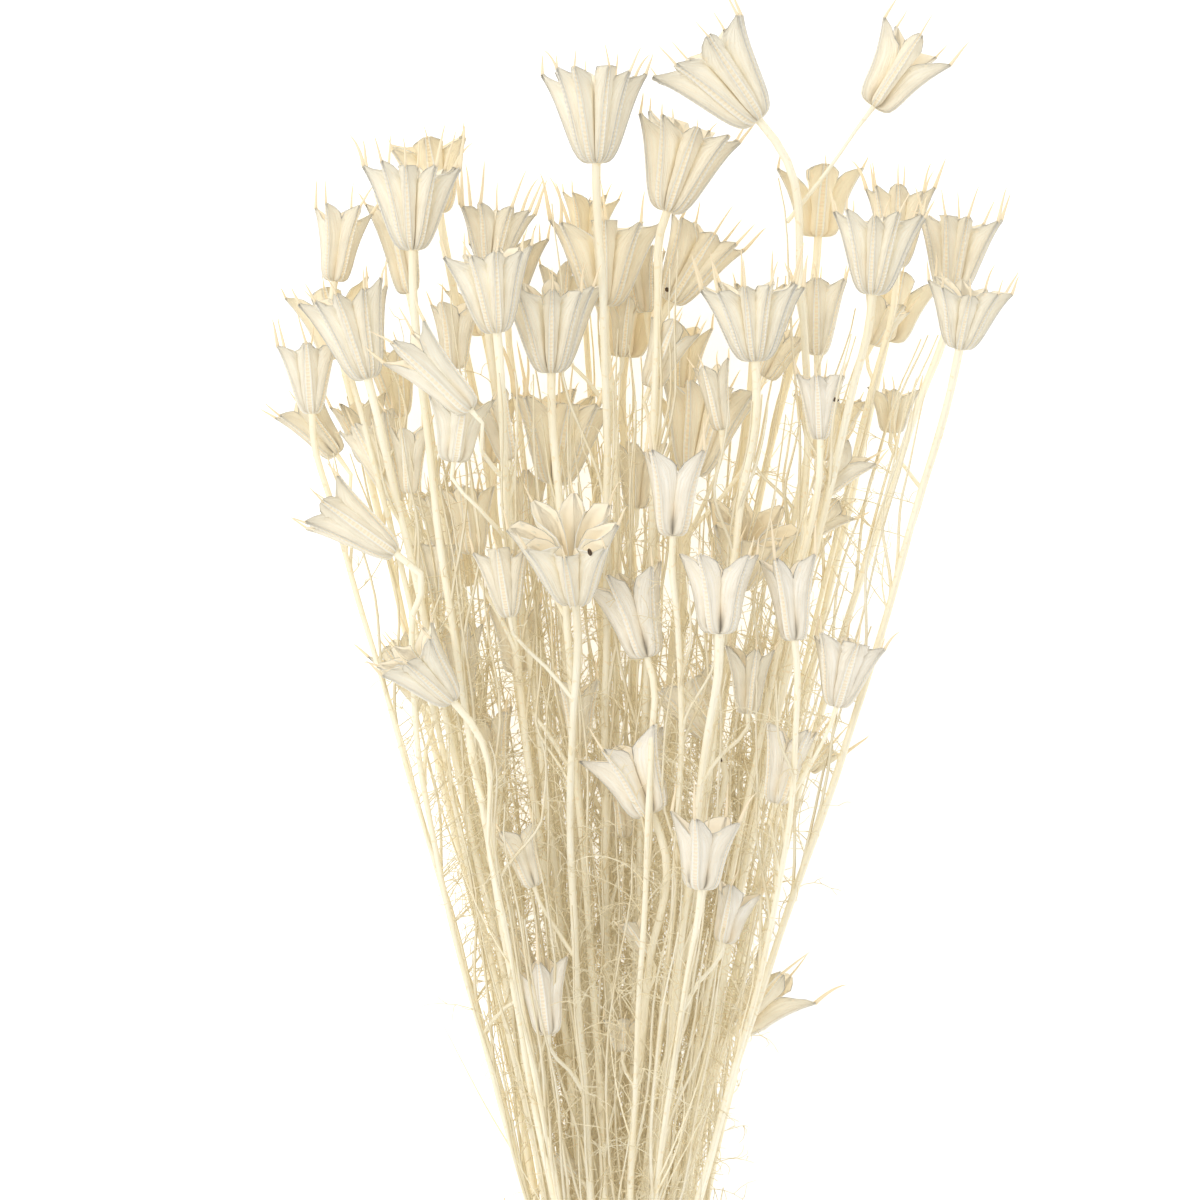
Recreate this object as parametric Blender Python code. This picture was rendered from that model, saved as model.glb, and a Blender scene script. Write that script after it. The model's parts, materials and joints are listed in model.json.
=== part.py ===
"""A bunch of dried nigella stems with star-shaped seed pods, held by a twine tie and lying on its side.

Frame, in metres: the stems run along +Y from their cut ends to the pods, +X is to the right seen from above,
and +Z is up. The origin is on the surface, under the middle of the tie. Layout sizes below are in millimetres.
"""

import math
from dataclasses import dataclass

import bmesh
import bpy
import numpy as np
from mathutils import Matrix

MM = 0.001
SEED = 11

# The tie and the cut ends
TIE_HALF_WIDTH = 18.6
TIE_HALF_DEPTH = 10.8
TIE_THICKNESS = 1.8
TIE_BREADTH = 8.0
TIE_SEGMENTS = 20
TIE_CLEARANCE = 0.5
CUT_END = -55.0
CUT_END_SPREAD = 2.5

# The fan of the stems above the tie
FAN_START = 35.0
FAN_BOW = 0.08
FAN_RISE = 0.4

# Stems
MAIN_RADIUS = 1.3
NECK_RADIUS = 1.25
THICK_NECK_RADIUS = 1.5
THICK_NECK_POD_WIDTH = 24
SIDE_RADIUS = 0.8
LEAF_RADIUS = 0.42
NECK_LENGTH = 8.0
STATIONS = (-6.0, 6.0, 50.0, 95.0, 135.0, 172.0, 208.0, 242.0, 276.0, 310.0, 342.0)
MAIN_SIDES = 4
THIN_SIDES = 3

# How the layout is settled: discs on cross planes push each other apart
PLANE_STEP = 3.0
GAP = 0.45
STEPS = 420
FREE_STEPS = 120
SMOOTHING = 0.13
FLOOR_LIFT = 0.1
TOP_OF_BUNCH = 112.0
FOLLOWED = 5

# One pod of natural size, as distance from its axis and height along it, which each pod then scales
POD_LENGTH = 23.0
POD_WIDTH = 29.0
BASE_RING = (1.3, 1.2)
KEEL = (7.6, 7.0)
TIP = (14.5, 24.5)
TIP_INNER = (12.0, 23.6)
TOP_EDGE = (4.8, 19.5)
JOIN = (2.7, 11.5)
HEART = 10.5
KEEL_HALF_BAND = 1.2
TIP_HALF_BAND = 0.55
TOP_EDGE_HALF_BAND = 0.8
HORN_SPREAD = 2.2
OUTLINE_TIP = 14.7


@dataclass
class Pod:
    """A seed pod: where its base and the middle of its rim are across and along the bunch, and its height."""

    name: str
    base_xy: tuple
    rim_xy: tuple
    height: float
    width: float
    pockets: int
    horn: float
    tilt: float = 0.0
    carrier: str = None
    joint: float = 0.0

    def __post_init__(self):
        across = self.rim_xy[0] - self.base_xy[0]
        along = self.rim_xy[1] - self.base_xy[1]
        flat = math.hypot(across, along)
        rise = flat * math.tan(math.radians(self.tilt))
        self.length = math.hypot(flat, rise)
        self.axis = np.array([across, along, rise]) / self.length
        self.base = np.array([*self.base_xy, self.height - rise / 2])


# Each pod's place on the bunch, its width, its pockets, the length of its horns, its tilt towards the top,
# and for a side pod the stem that carries it and where its branch leaves that stem.
PODS = [
    Pod("a1", (-62, 352), (-62, 374), 84, 28, 10, 12),
    Pod("a2", (-89, 344), (-86, 364), 68, 18, 5, 10),
    Pod("a3", (-65, 341), (-70, 366), 40, 16, 5, 7),
    Pod("a4", (-45, 327), (-47, 348), 84, 26, 9, 7, 5),
    Pod("a5", (-76, 314), (-82, 337), 68, 26, 9, 8),
    Pod("a6", (-39, 348), (-37, 364), 62, 24, 9, 13),
    Pod("a6b", (-34, 338), (-34, 356), 34, 22, 8, 7),
    Pod("a7", (-21, 316), (-21, 339), 86, 29, 10, 8, 5),
    Pod("a8", (-6, 337), (-6, 360), 58, 32, 8, 15),
    Pod("a9", (-18, 330), (-18, 349), 34, 15, 5, 6, 0, "a8", 305),
    Pod("a10", (-91, 304), (-92, 322), 66, 18, 6, 11),
    Pod("a11", (-84, 292), (-96, 306), 50, 16, 5, 7, 0, "a10", 262),
    Pod("a12", (-65, 304), (-68, 323), 36, 18, 6, 7),
    Pod("a13", (-67, 278), (-76, 299), 52, 18, 6, 7),
    Pod("a14", (-63, 280), (-63, 298), 62, 12, 4, 6, 0, "a12", 257),
    Pod("a15", (-44, 304), (-62, 323), 86, 18, 4, 9, 0, "a4", 284),
    Pod("a16", (-48, 289), (-46, 306), 84, 19, 4, 8, 0, "a4", 266),
    Pod("a17", (-34, 290), (-39, 308), 72, 14, 3, 6, 0, "a4", 257),
    Pod("a18", (-16, 283), (-14, 306), 52, 30, 8, 19),
    Pod("a19", (-36, 290), (-36, 308), 30, 15, 5, 6),
    Pod("b1", (41, 391), (25, 411), 70, 33, 8, 8),
    Pod("b2", (76, 396), (88, 414), 66, 24, 5, 8, 0, "b1", 361),
    Pod("b3", (-7, 378), (-7, 402), 74, 30, 10, 9),
    Pod("b4", (14, 365), (21, 388), 66, 32, 9, 8),
    Pod("b5", (15, 339), (26, 358), 36, 24, 7, 10),
    Pod("b6", (8, 336), (6, 353), 30, 15, 5, 6, 0, "b5", 308),
    Pod("b7", (40, 319), (39, 339), 84, 30, 11, 12, 5),
    Pod("b8", (43, 316), (50, 329), 40, 15, 5, 6, 0, "b17", 266),
    Pod("b9", (62, 322), (62, 342), 56, 18, 6, 7),
    Pod("b10", (75, 339), (77, 360), 78, 28, 10, 8),
    Pod("b11", (85, 349), (86, 370), 46, 21, 8, 11),
    Pod("b12", (100, 340), (102, 361), 62, 26, 9, 10),
    Pod("b13", (101, 323), (104, 339), 66, 25, 9, 8, 10),
    Pod("b14", (77, 326), (82, 338), 34, 14, 4, 6, 0, "b11", 308),
    Pod("b15", (5, 322), (6, 338), 56, 10, 3, 5, 0, "b3", 302),
    Pod("b16", (9, 312), (16, 329), 58, 14, 4, 6, 0, "b4", 290),
    Pod("b17", (34, 286), (39, 310), 52, 27, 8, 9),
    Pod("b17b", (31, 299), (28, 317), 58, 12, 4, 5, 0, "b17", 264),
    Pod("b19", (82, 299), (83, 311), 38, 15, 5, 6, 0, "b13", 281),
    Pod("c1", (-54.5, 248), (-55.5, 263), 57, 14, 6, 4, 0, "a1", 231),
    Pod("c2", (-67, 262), (-86, 276), 66, 20, 6, 8),
    Pod("c3", (-33, 243), (-35, 261), 84, 16, 6, 7, 0, "c4", 218),
    Pod("c4", (-15, 248), (-17, 268), 84, 33, 8, 8, 35),
    Pod("c5", (-50, 218), (-62, 232), 80, 22, 7, 7, 15),
    Pod("c6", (-45, 218), (-46, 239), 54, 15, 5, 6, 0, "c5", 188),
    Pod("c7", (-60, 217), (-70, 233), 44, 14, 4, 6, 0, "c2", 192),
    Pod("c8", (-55, 264), (-58, 280), 32, 15, 5, 6, 0, "a13", 245),
    Pod("d1", (17, 267), (18, 289), 84, 22, 4, 14),
    Pod("d2", (8, 231), (2, 254), 86, 22, 5, 8),
    Pod("d3", (29, 238), (29, 259), 84, 24, 5, 8),
    Pod("d4", (52, 236), (50, 258), 74, 17, 4, 13),
    Pod("d5", (64, 216), (68, 234), 68, 22, 6, 8, 0, "d4", 188),
    Pod("d6", (38, 214), (39, 232), 64, 15, 5, 6, 0, "d3", 194),
    Pod("d7", (58, 296), (58, 313), 76, 15, 6, 6),
    Pod("d9", (55, 280), (66, 292), 58, 15, 4, 7, 0, "d7", 260),
    Pod("d10", (56, 268), (65, 276), 50, 12, 4, 6, 0, "b9", 246),
    Pod("d11", (34, 252), (38, 270), 54, 28, 7, 8, 30),
    Pod("e1", (-26, 162), (-31, 178), 62, 14, 4, 6, 0, "c4", 140),
    Pod("f1", (11, 184), (3, 204), 76, 26, 5, 8),
    Pod("f2", (23, 162), (25, 181), 72, 22, 4, 13),
    Pod("f3", (28, 207), (20, 222), 60, 21, 6, 7),
    Pod("f4", (47, 187), (52, 207), 66, 16, 4, 7, 0, "d4", 158),
    Pod("f5", (31, 145), (35, 160), 62, 16, 3, 8, 0, "f2", 125),
    Pod("f6", (58, 196), (64, 203), 34, 10, 3, 10, 0, "b11", 166),
    Pod("g1", (-22, 117), (-24, 137), 52, 16, 4, 16, 0, "c4", 98),
    Pod("g2", (-28, 136), (-34, 147), 46, 10, 3, 5, 0, "c2", 116),
    Pod("g3", (35, 118), (48, 132), 34, 21, 4, 12, 0, "b10", 92),
    Pod("g4", (1, 111), (1, 120), 44, 11, 5, 4, 0, "f1", 95),
    Pod("g5", (9, 141), (4, 150), 60, 9, 3, 4, 0, "f1", 122),
    Pod("g6", (-14, 72), (-20, 78), 32, 9, 3, 4, 0, "c4", 58),
    Pod("h1", (-46, 262), (-47, 280), 44, 16, 4, 7, 0, "a4", 232),
    Pod("h2", (-27, 268), (-27, 286), 48, 15, 4, 6, 0, "a7", 242),
    Pod("h3", (2, 276), (3, 294), 50, 16, 5, 7, 0, "b3", 248),
    Pod("h4", (24, 312), (25, 330), 48, 16, 4, 6, 0, "b4", 282),
    Pod("h5", (-30, 226), (-31, 244), 48, 16, 4, 7, 0, "c4", 196),
    Pod("h6", (-36, 196), (-38, 213), 46, 15, 4, 6, 0, "c5", 168),
    Pod("h7", (-10, 204), (-11, 222), 50, 15, 4, 7, 0, "a8", 176),
    Pod("h8", (0, 176), (-2, 194), 44, 14, 4, 6, 0, "b3", 148),
    Pod("h9", (-74, 290), (-78, 307), 48, 17, 5, 7, 0, "a5", 271),
    Pod("h10", (-50, 318), (-50, 336), 50, 16, 4, 6, 0, "a1", 288),
]

# Stems that bow out or lean clear of the straight fan, as points across and along the bunch
BOWED_STEMS = {
    "a1": ((-54, 278), (-45, 218), (-35, 155)),
    "c2": ((-67, 218), (-60, 188), (-52, 155), (-45, 128), (-35, 102)),
    "c4": ((-18, 206), (-17, 160)),
    "d4": ((54, 200), (53, 165), (50, 140), (44, 118), (31, 92)),
    "b12": ((91, 308), (84, 284), (71, 248), (63, 218)),
    "b1": ((63, 362), (64, 342), (60, 300), (52, 250), (42, 190)),
}

# Pods on the underside: rows along the bunch, and how many stand in each across it
UNDERSIDE_ROWS = ((252, 46, 3), (290, 60, 4), (326, 78, 5), (362, 50, 3))
UNDERSIDE_LIFT = 0.1
UNDERSIDE_JITTER = 5.0

# Thread leaves
LEAF_TRIES = 1400
LEAF_COUNT = 44
LEAF_LENGTH = (26.0, 44.0)
LEAF_REACH = (5.0, 13.0)
LEAF_BEND = 1.8
LEAF_KNOTS = 4
LEAF_TAPER = 0.75
LEAF_GAP = 0.5

STRAW = (0.83, 0.76, 0.58, 1.0)
TWINE = (0.55, 0.42, 0.26, 1.0)


@dataclass
class Stem:
    """A line of knots along the bunch: a cut stem, a side branch or a thread leaf."""

    name: str
    pod: int
    along: np.ndarray
    across: np.ndarray
    radius: np.ndarray
    carrier: int = -1
    owner: int = -1


def underside_pods(rng):
    """The pods that the bunch lies on, by a rule: jittered rows, each pod with a keel on the surface."""
    found = []
    for row, (along, half, count) in enumerate(UNDERSIDE_ROWS):
        for k in range(count):
            across = -half + 2 * half * k / (count - 1) + rng.uniform(-1, 1) * UNDERSIDE_JITTER
            y = along + rng.uniform(-1, 1) * UNDERSIDE_JITTER
            lean = across * 0.06 + rng.uniform(-2, 2)
            width = float(rng.choice((18, 22, 25)))
            pod = Pod(f"u{row}{k}", (across, y), (across + lean, y + width * 0.78),
                      UNDERSIDE_LIFT + OUTLINE_TIP / POD_WIDTH * width, width, int(rng.integers(4, 7)), 5.0)
            found.append(pod)
    return found


def fan_line(pod, y, tie):
    """Where a stem's first, unsettled line is at y: a fan from just above the tie, bowed out a little."""
    u = np.clip((y - FAN_START) / (pod.base[1] - FAN_START), 0.0, 1.0)
    bow = u + FAN_BOW * u * (1 - u)
    x = tie[0] + (pod.base[0] - tie[0]) * bow
    z = tie[1] + (pod.base[2] - tie[1]) * (u + FAN_RISE * u * (1 - u))
    below = y < 0
    x = np.where(below, tie[0] * (1 - y / 300), x)
    z = np.where(below, tie[1], z)
    if pod.name in BOWED_STEMS:
        points = [(0.0, tie[0]), *sorted((b, a) for a, b in BOWED_STEMS[pod.name]), (pod.base[1], pod.base[0])]
        ys, xs = np.array(points).T
        x = np.where(below, x, np.interp(y, ys, xs))
    return x, z


def plan_stems(pods, rng):
    """Knots for every cut stem and side branch, before they are settled."""
    numbers = {p.name: i for i, p in enumerate(pods)}
    stems, by_pod = [], {}
    for i, pod in enumerate(pods):
        if pod.carrier:
            continue
        tie_x = 14.0 * math.tanh(pod.base[0] / 70) + rng.uniform(-1, 1)
        tie_z = TIE_THICKNESS + TIE_HALF_DEPTH + 0.12 * (pod.height - 50) + rng.uniform(-1, 1)
        neck_y = pod.base[1] - NECK_LENGTH * pod.axis[1]
        along = [CUT_END + rng.uniform(-1, 1) * CUT_END_SPREAD]
        along += [s for s in STATIONS if s < neck_y - 14] + [neck_y, pod.base[1]]
        along = np.array(along)
        x, z = fan_line(pod, along, (tie_x, tie_z))
        neck = THICK_NECK_RADIUS if pod.width >= THICK_NECK_POD_WIDTH else NECK_RADIUS
        radius = np.full(len(along), MAIN_RADIUS)
        radius[-2:] = neck
        by_pod[i] = len(stems)
        stems.append(Stem(pod.name, i, along, np.column_stack([x, z]), radius))
    for i, pod in enumerate(pods):
        if not pod.carrier:
            continue
        carrier = by_pod[numbers[pod.carrier]]
        line = stems[carrier]
        start = np.array([np.interp(pod.joint, line.along, line.across[:, a]) for a in (0, 1)])
        neck_y = pod.base[1] - 0.6 * NECK_LENGTH * pod.axis[1]
        between = [s for s in STATIONS if pod.joint + 16 < s < neck_y - 12]
        if not between:
            between = [(pod.joint + neck_y) / 2]
        along = np.array([pod.joint, *between, neck_y, pod.base[1]])
        u = (along - pod.joint) / (pod.base[1] - pod.joint)
        x = start[0] + (pod.base[0] - start[0]) * u
        z = start[1] + (pod.base[2] - start[1]) * u
        radius = np.full(len(along), SIDE_RADIUS)
        stems.append(Stem(pod.name, i, along, np.column_stack([x, z]), radius, carrier, carrier))
    for i, stem in enumerate(stems):
        stem.owner = stem.carrier if stem.carrier >= 0 else i
    return stems


def pod_outline(pod):
    """Rings of points on the cone that encloses a pod, from its base."""
    wide, tall = pod.width / POD_WIDTH, pod.length / POD_LENGTH
    heights = np.array([1.0, 4.0, KEEL[1], 11.0, 15.0, 20.0, TIP[1]]) * tall
    reach = np.array([2.0, 5.2, KEEL[0] + 0.3, 9.4, 11.2, 13.0, OUTLINE_TIP]) * wide
    side_a, side_b = cross_axes(pod.axis)
    turn = np.linspace(0, 2 * math.pi, 17)[:-1]
    rim = np.cos(turn)[:, None] * side_a + np.sin(turn)[:, None] * side_b
    return (heights[:, None, None] * pod.axis + reach[:, None, None] * rim[None]).reshape(-1, 3)


def cross_axes(axis):
    """Two directions across an axis that runs roughly along the bunch: rightwards, then upwards."""
    right = np.array([1.0, 0.0, 0.0]) - axis[0] * axis
    right /= np.linalg.norm(right)
    return right, np.cross(right, axis)


class Settling:
    """Stems and pods as discs on planes across the bunch, which push each other apart."""

    def __init__(self, pods, stems):
        self.pods, self.stems = pods, stems
        self.knot_start, total = [], 0
        for stem in stems:
            self.knot_start.append(total)
            total += len(stem.along)
        self.pod_start = total
        self.state = np.zeros((total + len(pods), 2))
        self.mobility = np.ones((total + len(pods), 2))
        for k, stem in zip(self.knot_start, stems):
            self.state[k:k + len(stem.along)] = stem.across
        for i, pod in enumerate(pods):
            self.state[total + i] = (pod.base[0], pod.base[2])
            self.mobility[total + i] = (0.12 if pod.height > 60 else 0.3, 0.6)
        self.first = self.state.copy()
        self.make_discs()

    def follow(self, stem, start, y):
        """Which state rows a stem's point at y follows, with their weights, and its fixed offset."""
        pod = self.pods[stem.pod]
        last = len(stem.along) - 1
        a = int(np.clip(np.searchsorted(stem.along, y, side="right") - 1, 0, last - 1))
        w = (y - stem.along[a]) / (stem.along[a + 1] - stem.along[a])
        rows, offset = {}, np.zeros(2)
        for knot, weight in ((a, 1 - w), (a + 1, w)):
            if knot >= last - 1:
                row = self.pod_start + stem.pod
                offset += weight * self.neck_offset(stem, knot - last)
                rows[row] = rows.get(row, 0) + weight
            elif knot == 0 and stem.carrier >= 0:
                base = self.knot_start[stem.carrier]
                under, shift = self.follow(self.stems[stem.carrier], base, stem.along[0])
                offset += weight * shift
                for row, part in under.items():
                    rows[row] = rows.get(row, 0) + weight * part
            else:
                rows[start + knot] = rows.get(start + knot, 0) + weight
        return rows, offset

    def neck_offset(self, stem, place):
        """How far the neck's knot, or the last one, lies from the pod's base, across the bunch."""
        if place == 0:
            return np.zeros(2)
        pod = self.pods[stem.pod]
        back = (stem.along[-1] - stem.along[-2]) / pod.axis[1]
        return -back * pod.axis[[0, 2]]

    def make_discs(self):
        """Every disc: the plane it is on, what it follows, its size and which stem or pod it belongs to."""
        plane, rows, weights, offset, radius, item, own, fixed_floor = [], [], [], [], [], [], [], []
        for i, (start, stem) in enumerate(zip(self.knot_start, self.stems)):
            first = math.ceil(stem.along[0] / PLANE_STEP)
            last = math.floor(stem.along[-1] / PLANE_STEP)
            for level in range(first, last + 1):
                y = level * PLANE_STEP
                found, shift = self.follow(stem, start, y)
                found = sorted(found.items())
                plane.append(level)
                rows.append([r for r, _ in found] + [0] * (FOLLOWED - len(found)))
                weights.append([w for _, w in found] + [0.0] * (FOLLOWED - len(found)))
                offset.append(shift)
                radius.append(float(np.interp(y, stem.along, stem.radius)))
                item.append(i)
                own.append(stem.pod)
                fixed_floor.append(y - stem.along[0] if stem.carrier >= 0 else 1e3)
        for i, pod in enumerate(self.pods):
            points = pod_outline(pod)
            planes = np.round((points[:, 1] + pod.base[1]) / PLANE_STEP).astype(int)
            for level in range(planes.min(), planes.max() + 1):
                near = points[np.abs(points[:, 1] + pod.base[1] - level * PLANE_STEP) <= 2.4][:, [0, 2]]
                if len(near) < 3:
                    continue
                middle = (near.min(0) + near.max(0)) / 2
                plane.append(level)
                rows.append([self.pod_start + i] + [0] * (FOLLOWED - 1))
                weights.append([1.0] + [0.0] * (FOLLOWED - 1))
                offset.append(middle)
                radius.append(float(np.linalg.norm(near - middle, axis=1).max()))
                item.append(len(self.stems) + i)
                own.append(i)
                fixed_floor.append(1e3)
        self.plane = np.array(plane)
        self.rows, self.weights = np.array(rows), np.array(weights)
        self.offset, self.radius = np.array(offset), np.array(radius)
        self.item, self.own = np.array(item), np.array(own)
        self.past_joint = np.array(fixed_floor)
        self.is_pod = self.item >= len(self.stems)
        owner = [s.owner for s in self.stems] + [-1] * len(self.pods)
        self.owner = np.array(owner)[self.item]

    def places(self):
        """Each disc's middle now."""
        return (self.state[self.rows] * self.weights[:, :, None]).sum(1) + self.offset

    def find_pairs(self, middle, reach):
        """Pairs of discs on one plane that are within reach of touching."""
        found = []
        order = np.argsort(self.plane, kind="stable")
        edges = np.flatnonzero(np.diff(self.plane[order])) + 1
        for group in np.split(order, edges):
            a, b = np.triu_indices(len(group), 1)
            a, b = group[a], group[b]
            apart = np.linalg.norm(middle[a] - middle[b], axis=1)
            keep = apart < self.radius[a] + self.radius[b] + reach
            keep &= self.item[a] != self.item[b]
            mixed = self.is_pod[a] != self.is_pod[b]
            keep &= ~(mixed & (self.own[a] == self.own[b]))
            related = (self.owner[a] == self.owner[b]) & ~self.is_pod[a] & ~self.is_pod[b]
            near_joint = np.minimum(self.past_joint[a], self.past_joint[b]) < 22
            keep &= ~(related & near_joint)
            found.append(np.column_stack([a[keep], b[keep]]))
        return np.concatenate(found)

    def push(self, pairs, middle):
        """One round of pushing overlapping discs apart. Returns the deepest overlap."""
        a, b = pairs.T
        away = middle[a] - middle[b]
        apart = np.maximum(np.linalg.norm(away, axis=1), 1e-6)
        depth = self.radius[a] + self.radius[b] + GAP - apart
        hit = depth > 0
        a, b, away, apart, depth = a[hit], b[hit], away[hit], apart[hit], depth[hit]
        shove = away / apart[:, None] * depth[:, None]
        both = self.is_pod[a] & self.is_pod[b]
        reach = self.radius[a] + self.radius[b] + GAP
        lift = np.sqrt(np.maximum(reach ** 2 - away[:, 0] ** 2, 0)) - np.abs(away[:, 1])
        side = np.where(away[:, 1] >= 0, 1.0, -1.0)
        shove[both, 0] *= 0.35
        shove[both, 1] = (side * np.minimum(lift, 2 * depth))[both]
        move = np.zeros_like(self.state)
        count = np.zeros(len(self.state))
        share = np.where(self.is_pod[a] == self.is_pod[b], 0.5, np.where(self.is_pod[a], 0.12, 0.88))
        for disc, sign, part in ((a, 1, share), (b, -1, 1 - share)):
            for c in range(FOLLOWED):
                w = self.weights[disc, c]
                np.add.at(move, self.rows[disc, c], (sign * part * w)[:, None] * shove)
                np.add.at(count, self.rows[disc, c], w)
        self.state += move / np.maximum(count, 0.6)[:, None] * self.mobility * 1.25
        return float(depth.max()) if len(depth) else 0.0

    def smooth(self):
        """Eases each stem's shifts along it, so that it stays a gentle line."""
        shift = self.state - self.first
        for start, stem in zip(self.knot_start, self.stems):
            free = range(1 if stem.carrier >= 0 else 0, len(stem.along) - 2)
            for k in free:
                here = start + k
                before = shift[max(here - 1, start)]
                after = shift[here + 1] if k + 1 < len(stem.along) - 2 else shift[self.pod_start + stem.pod]
                self.state[here] += SMOOTHING * ((before + after) / 2 - shift[here])

    def hold(self):
        """Keeps stems in the tie, and everything above the surface and under the top of the bunch."""
        for start, stem in zip(self.knot_start, self.stems):
            if stem.carrier >= 0:
                continue
            for k in (0, 1, 2):
                limit = 1.25 if k == 0 else 1.0
                room = np.array([TIE_HALF_WIDTH, TIE_HALF_DEPTH]) - TIE_CLEARANCE - MAIN_RADIUS
                middle = np.array([0.0, TIE_THICKNESS + TIE_HALF_DEPTH])
                p = (self.state[start + k] - middle) / (room * limit)
                size = np.linalg.norm(p)
                if size > 1:
                    self.state[start + k] = middle + p / size * room * limit
        middle = self.places()
        low = self.radius + FLOOR_LIFT - middle[:, 1]
        high = middle[:, 1] + self.radius - TOP_OF_BUNCH
        for wrong, sign in ((low, 1.0), (high, -1.0)):
            bad = np.flatnonzero(wrong > 0)
            lift = np.zeros(len(self.state))
            for c in range(FOLLOWED):
                w = self.weights[bad, c]
                np.maximum.at(lift, self.rows[bad, c], np.where(w > 0.05, wrong[bad], 0))
            self.state[:, 1] += sign * lift

    def run(self):
        """Settles everything, and writes the places back to the stems and pods. Returns the last overlap."""
        deepest = 0.0
        for step in range(STEPS):
            middle = self.places()
            if step % 10 == 0:
                pairs = self.find_pairs(middle, 4.0)
            deepest = self.push(pairs, middle)
            if step < STEPS - FREE_STEPS:
                self.smooth()
            self.hold()
        for i, pod in enumerate(self.pods):
            pod.base[[0, 2]] = np.round(self.state[self.pod_start + i], 3)
        for start, stem in zip(self.knot_start, self.stems):
            for k, y in enumerate(stem.along):
                rows, offset = self.follow(stem, start, y)
                stem.across[k] = sum(self.state[r] * w for r, w in rows.items()) + offset
        return deepest


def settle(pods, stems):
    """Runs the settling and returns it, for the clearances of horns and leaves."""
    settling = Settling(pods, stems)
    deepest = settling.run()
    print(f"deepest overlap left between discs: {deepest:.2f} mm")
    return settling


class Clearance:
    """Tells whether a thin horn or leaf is clear of every stem, pod, horn and leaf."""

    def __init__(self, settling):
        self.middle = settling.places()
        self.settling = settling
        self.by_plane = {}
        for i, level in enumerate(settling.plane):
            self.by_plane.setdefault(int(level), []).append(i)
        self.by_plane = {k: np.array(v) for k, v in self.by_plane.items()}
        self.thin = np.zeros((0, 4))

    def clear(self, points, radius, skip):
        """True if points are clear of all discs but those whose item is in skip, and of the thin pieces."""
        for x, y, z in points:
            if z < radius + 0.2:
                return False
            for level in (math.floor(y / PLANE_STEP), math.ceil(y / PLANE_STEP)):
                near = self.by_plane.get(level)
                if near is None:
                    continue
                apart = np.linalg.norm(self.middle[near] - (x, z), axis=1)
                tight = apart < self.settling.radius[near] + radius + LEAF_GAP
                if any(int(i) not in skip for i in self.settling.item[near[tight]]):
                    return False
        if len(self.thin):
            apart = np.linalg.norm(self.thin[None, :, :3] - np.asarray(points)[:, None], axis=2)
            if (apart < self.thin[None, :, 3] + radius + LEAF_GAP).any():
                return False
        return True

    def add(self, points, radius):
        """Keeps later thin pieces clear of this one."""
        rows = np.column_stack([points, np.full(len(points), radius)])
        self.thin = np.concatenate([self.thin, rows])


def horn_tip(pod, turn, length, curl):
    """A horn's tip, from its pocket's tip outwards along the pod, curled sideways."""
    wide, tall = pod.width / POD_WIDTH, pod.length / POD_LENGTH
    side_a, side_b = cross_axes(pod.axis)
    out = side_a * math.cos(turn) + side_b * math.sin(turn)
    across = side_b * math.cos(turn) - side_a * math.sin(turn)
    root = pod.base + pod.axis * TIP[1] * tall + out * TIP[0] * wide
    spread = HORN_SPREAD * length / 10
    return root, root + pod.axis * length + out * spread + across * curl * length * 0.2


def plan_horns(pods, clearance, rng, stem_count):
    """For each pod, its turn and each horn's tip, cut short where something is in the way."""
    plans = []
    for i, pod in enumerate(pods):
        start = rng.uniform(0, 2 * math.pi) if pod.base[2] > pod.width else -math.pi / 2
        tips = []
        for k in range(pod.pockets):
            turn = start + 2 * math.pi * k / pod.pockets
            curl = rng.uniform(-1, 1)
            full = pod.horn * rng.uniform(0.75, 1.1)
            for share in (1.0, 0.75, 0.5, 0.3, 0.15):
                root, tip = horn_tip(pod, turn, full * share, curl)
                points = root + (tip - root) * np.linspace(0.15, 1, 8)[:, None]
                if clearance.clear(points, 0.4, {stem_count + i}):
                    break
            tip[2] = max(tip[2], 0.0)
            clearance.add(points[1:], 0.4)
            tips.append(tip)
        plans.append((start, tips))
    return plans


def plan_leaves(stems, clearance, rng):
    """Thread leaves: bent spikes that leave a stem and stay clear of everything else."""
    leaves = []
    mains = [i for i, s in enumerate(stems) if s.carrier < 0]
    for _ in range(LEAF_TRIES):
        if len(leaves) == LEAF_COUNT:
            break
        owner = int(rng.choice(mains))
        stem = stems[owner]
        start = rng.uniform(30, max(60, stem.along[-1] - 70))
        length, reach = rng.uniform(*LEAF_LENGTH), rng.uniform(*LEAF_REACH)
        heading = rng.uniform(0, 2 * math.pi)
        bend = rng.uniform(-1, 1) * LEAF_BEND
        if start + length > stem.along[-1] - 12:
            continue
        u = np.linspace(0, 1, LEAF_KNOTS)
        y = start + length * u
        turn = heading + bend * u
        centre = np.column_stack([np.interp(y, stem.along, stem.across[:, a]) for a in (0, 1)])
        line = centre + (reach * u ** 0.8)[:, None] * np.column_stack([np.cos(turn), np.sin(turn)])
        line[0] = centre[0]
        fine = np.linspace(0, 1, 15)
        points = np.column_stack([np.interp(fine, u, c) for c in (line[:, 0], y, line[:, 1])])
        if not clearance.clear(points[:3], LEAF_RADIUS, {owner}):
            continue
        if not clearance.clear(points[3:], LEAF_RADIUS, set()):
            continue
        clearance.add(points[2:], LEAF_RADIUS)
        radius = np.linspace(1.0, LEAF_TAPER, LEAF_KNOTS) * LEAF_RADIUS
        leaves.append(Stem("leaf", -1, y, line, radius, owner, owner))
    return leaves


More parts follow.
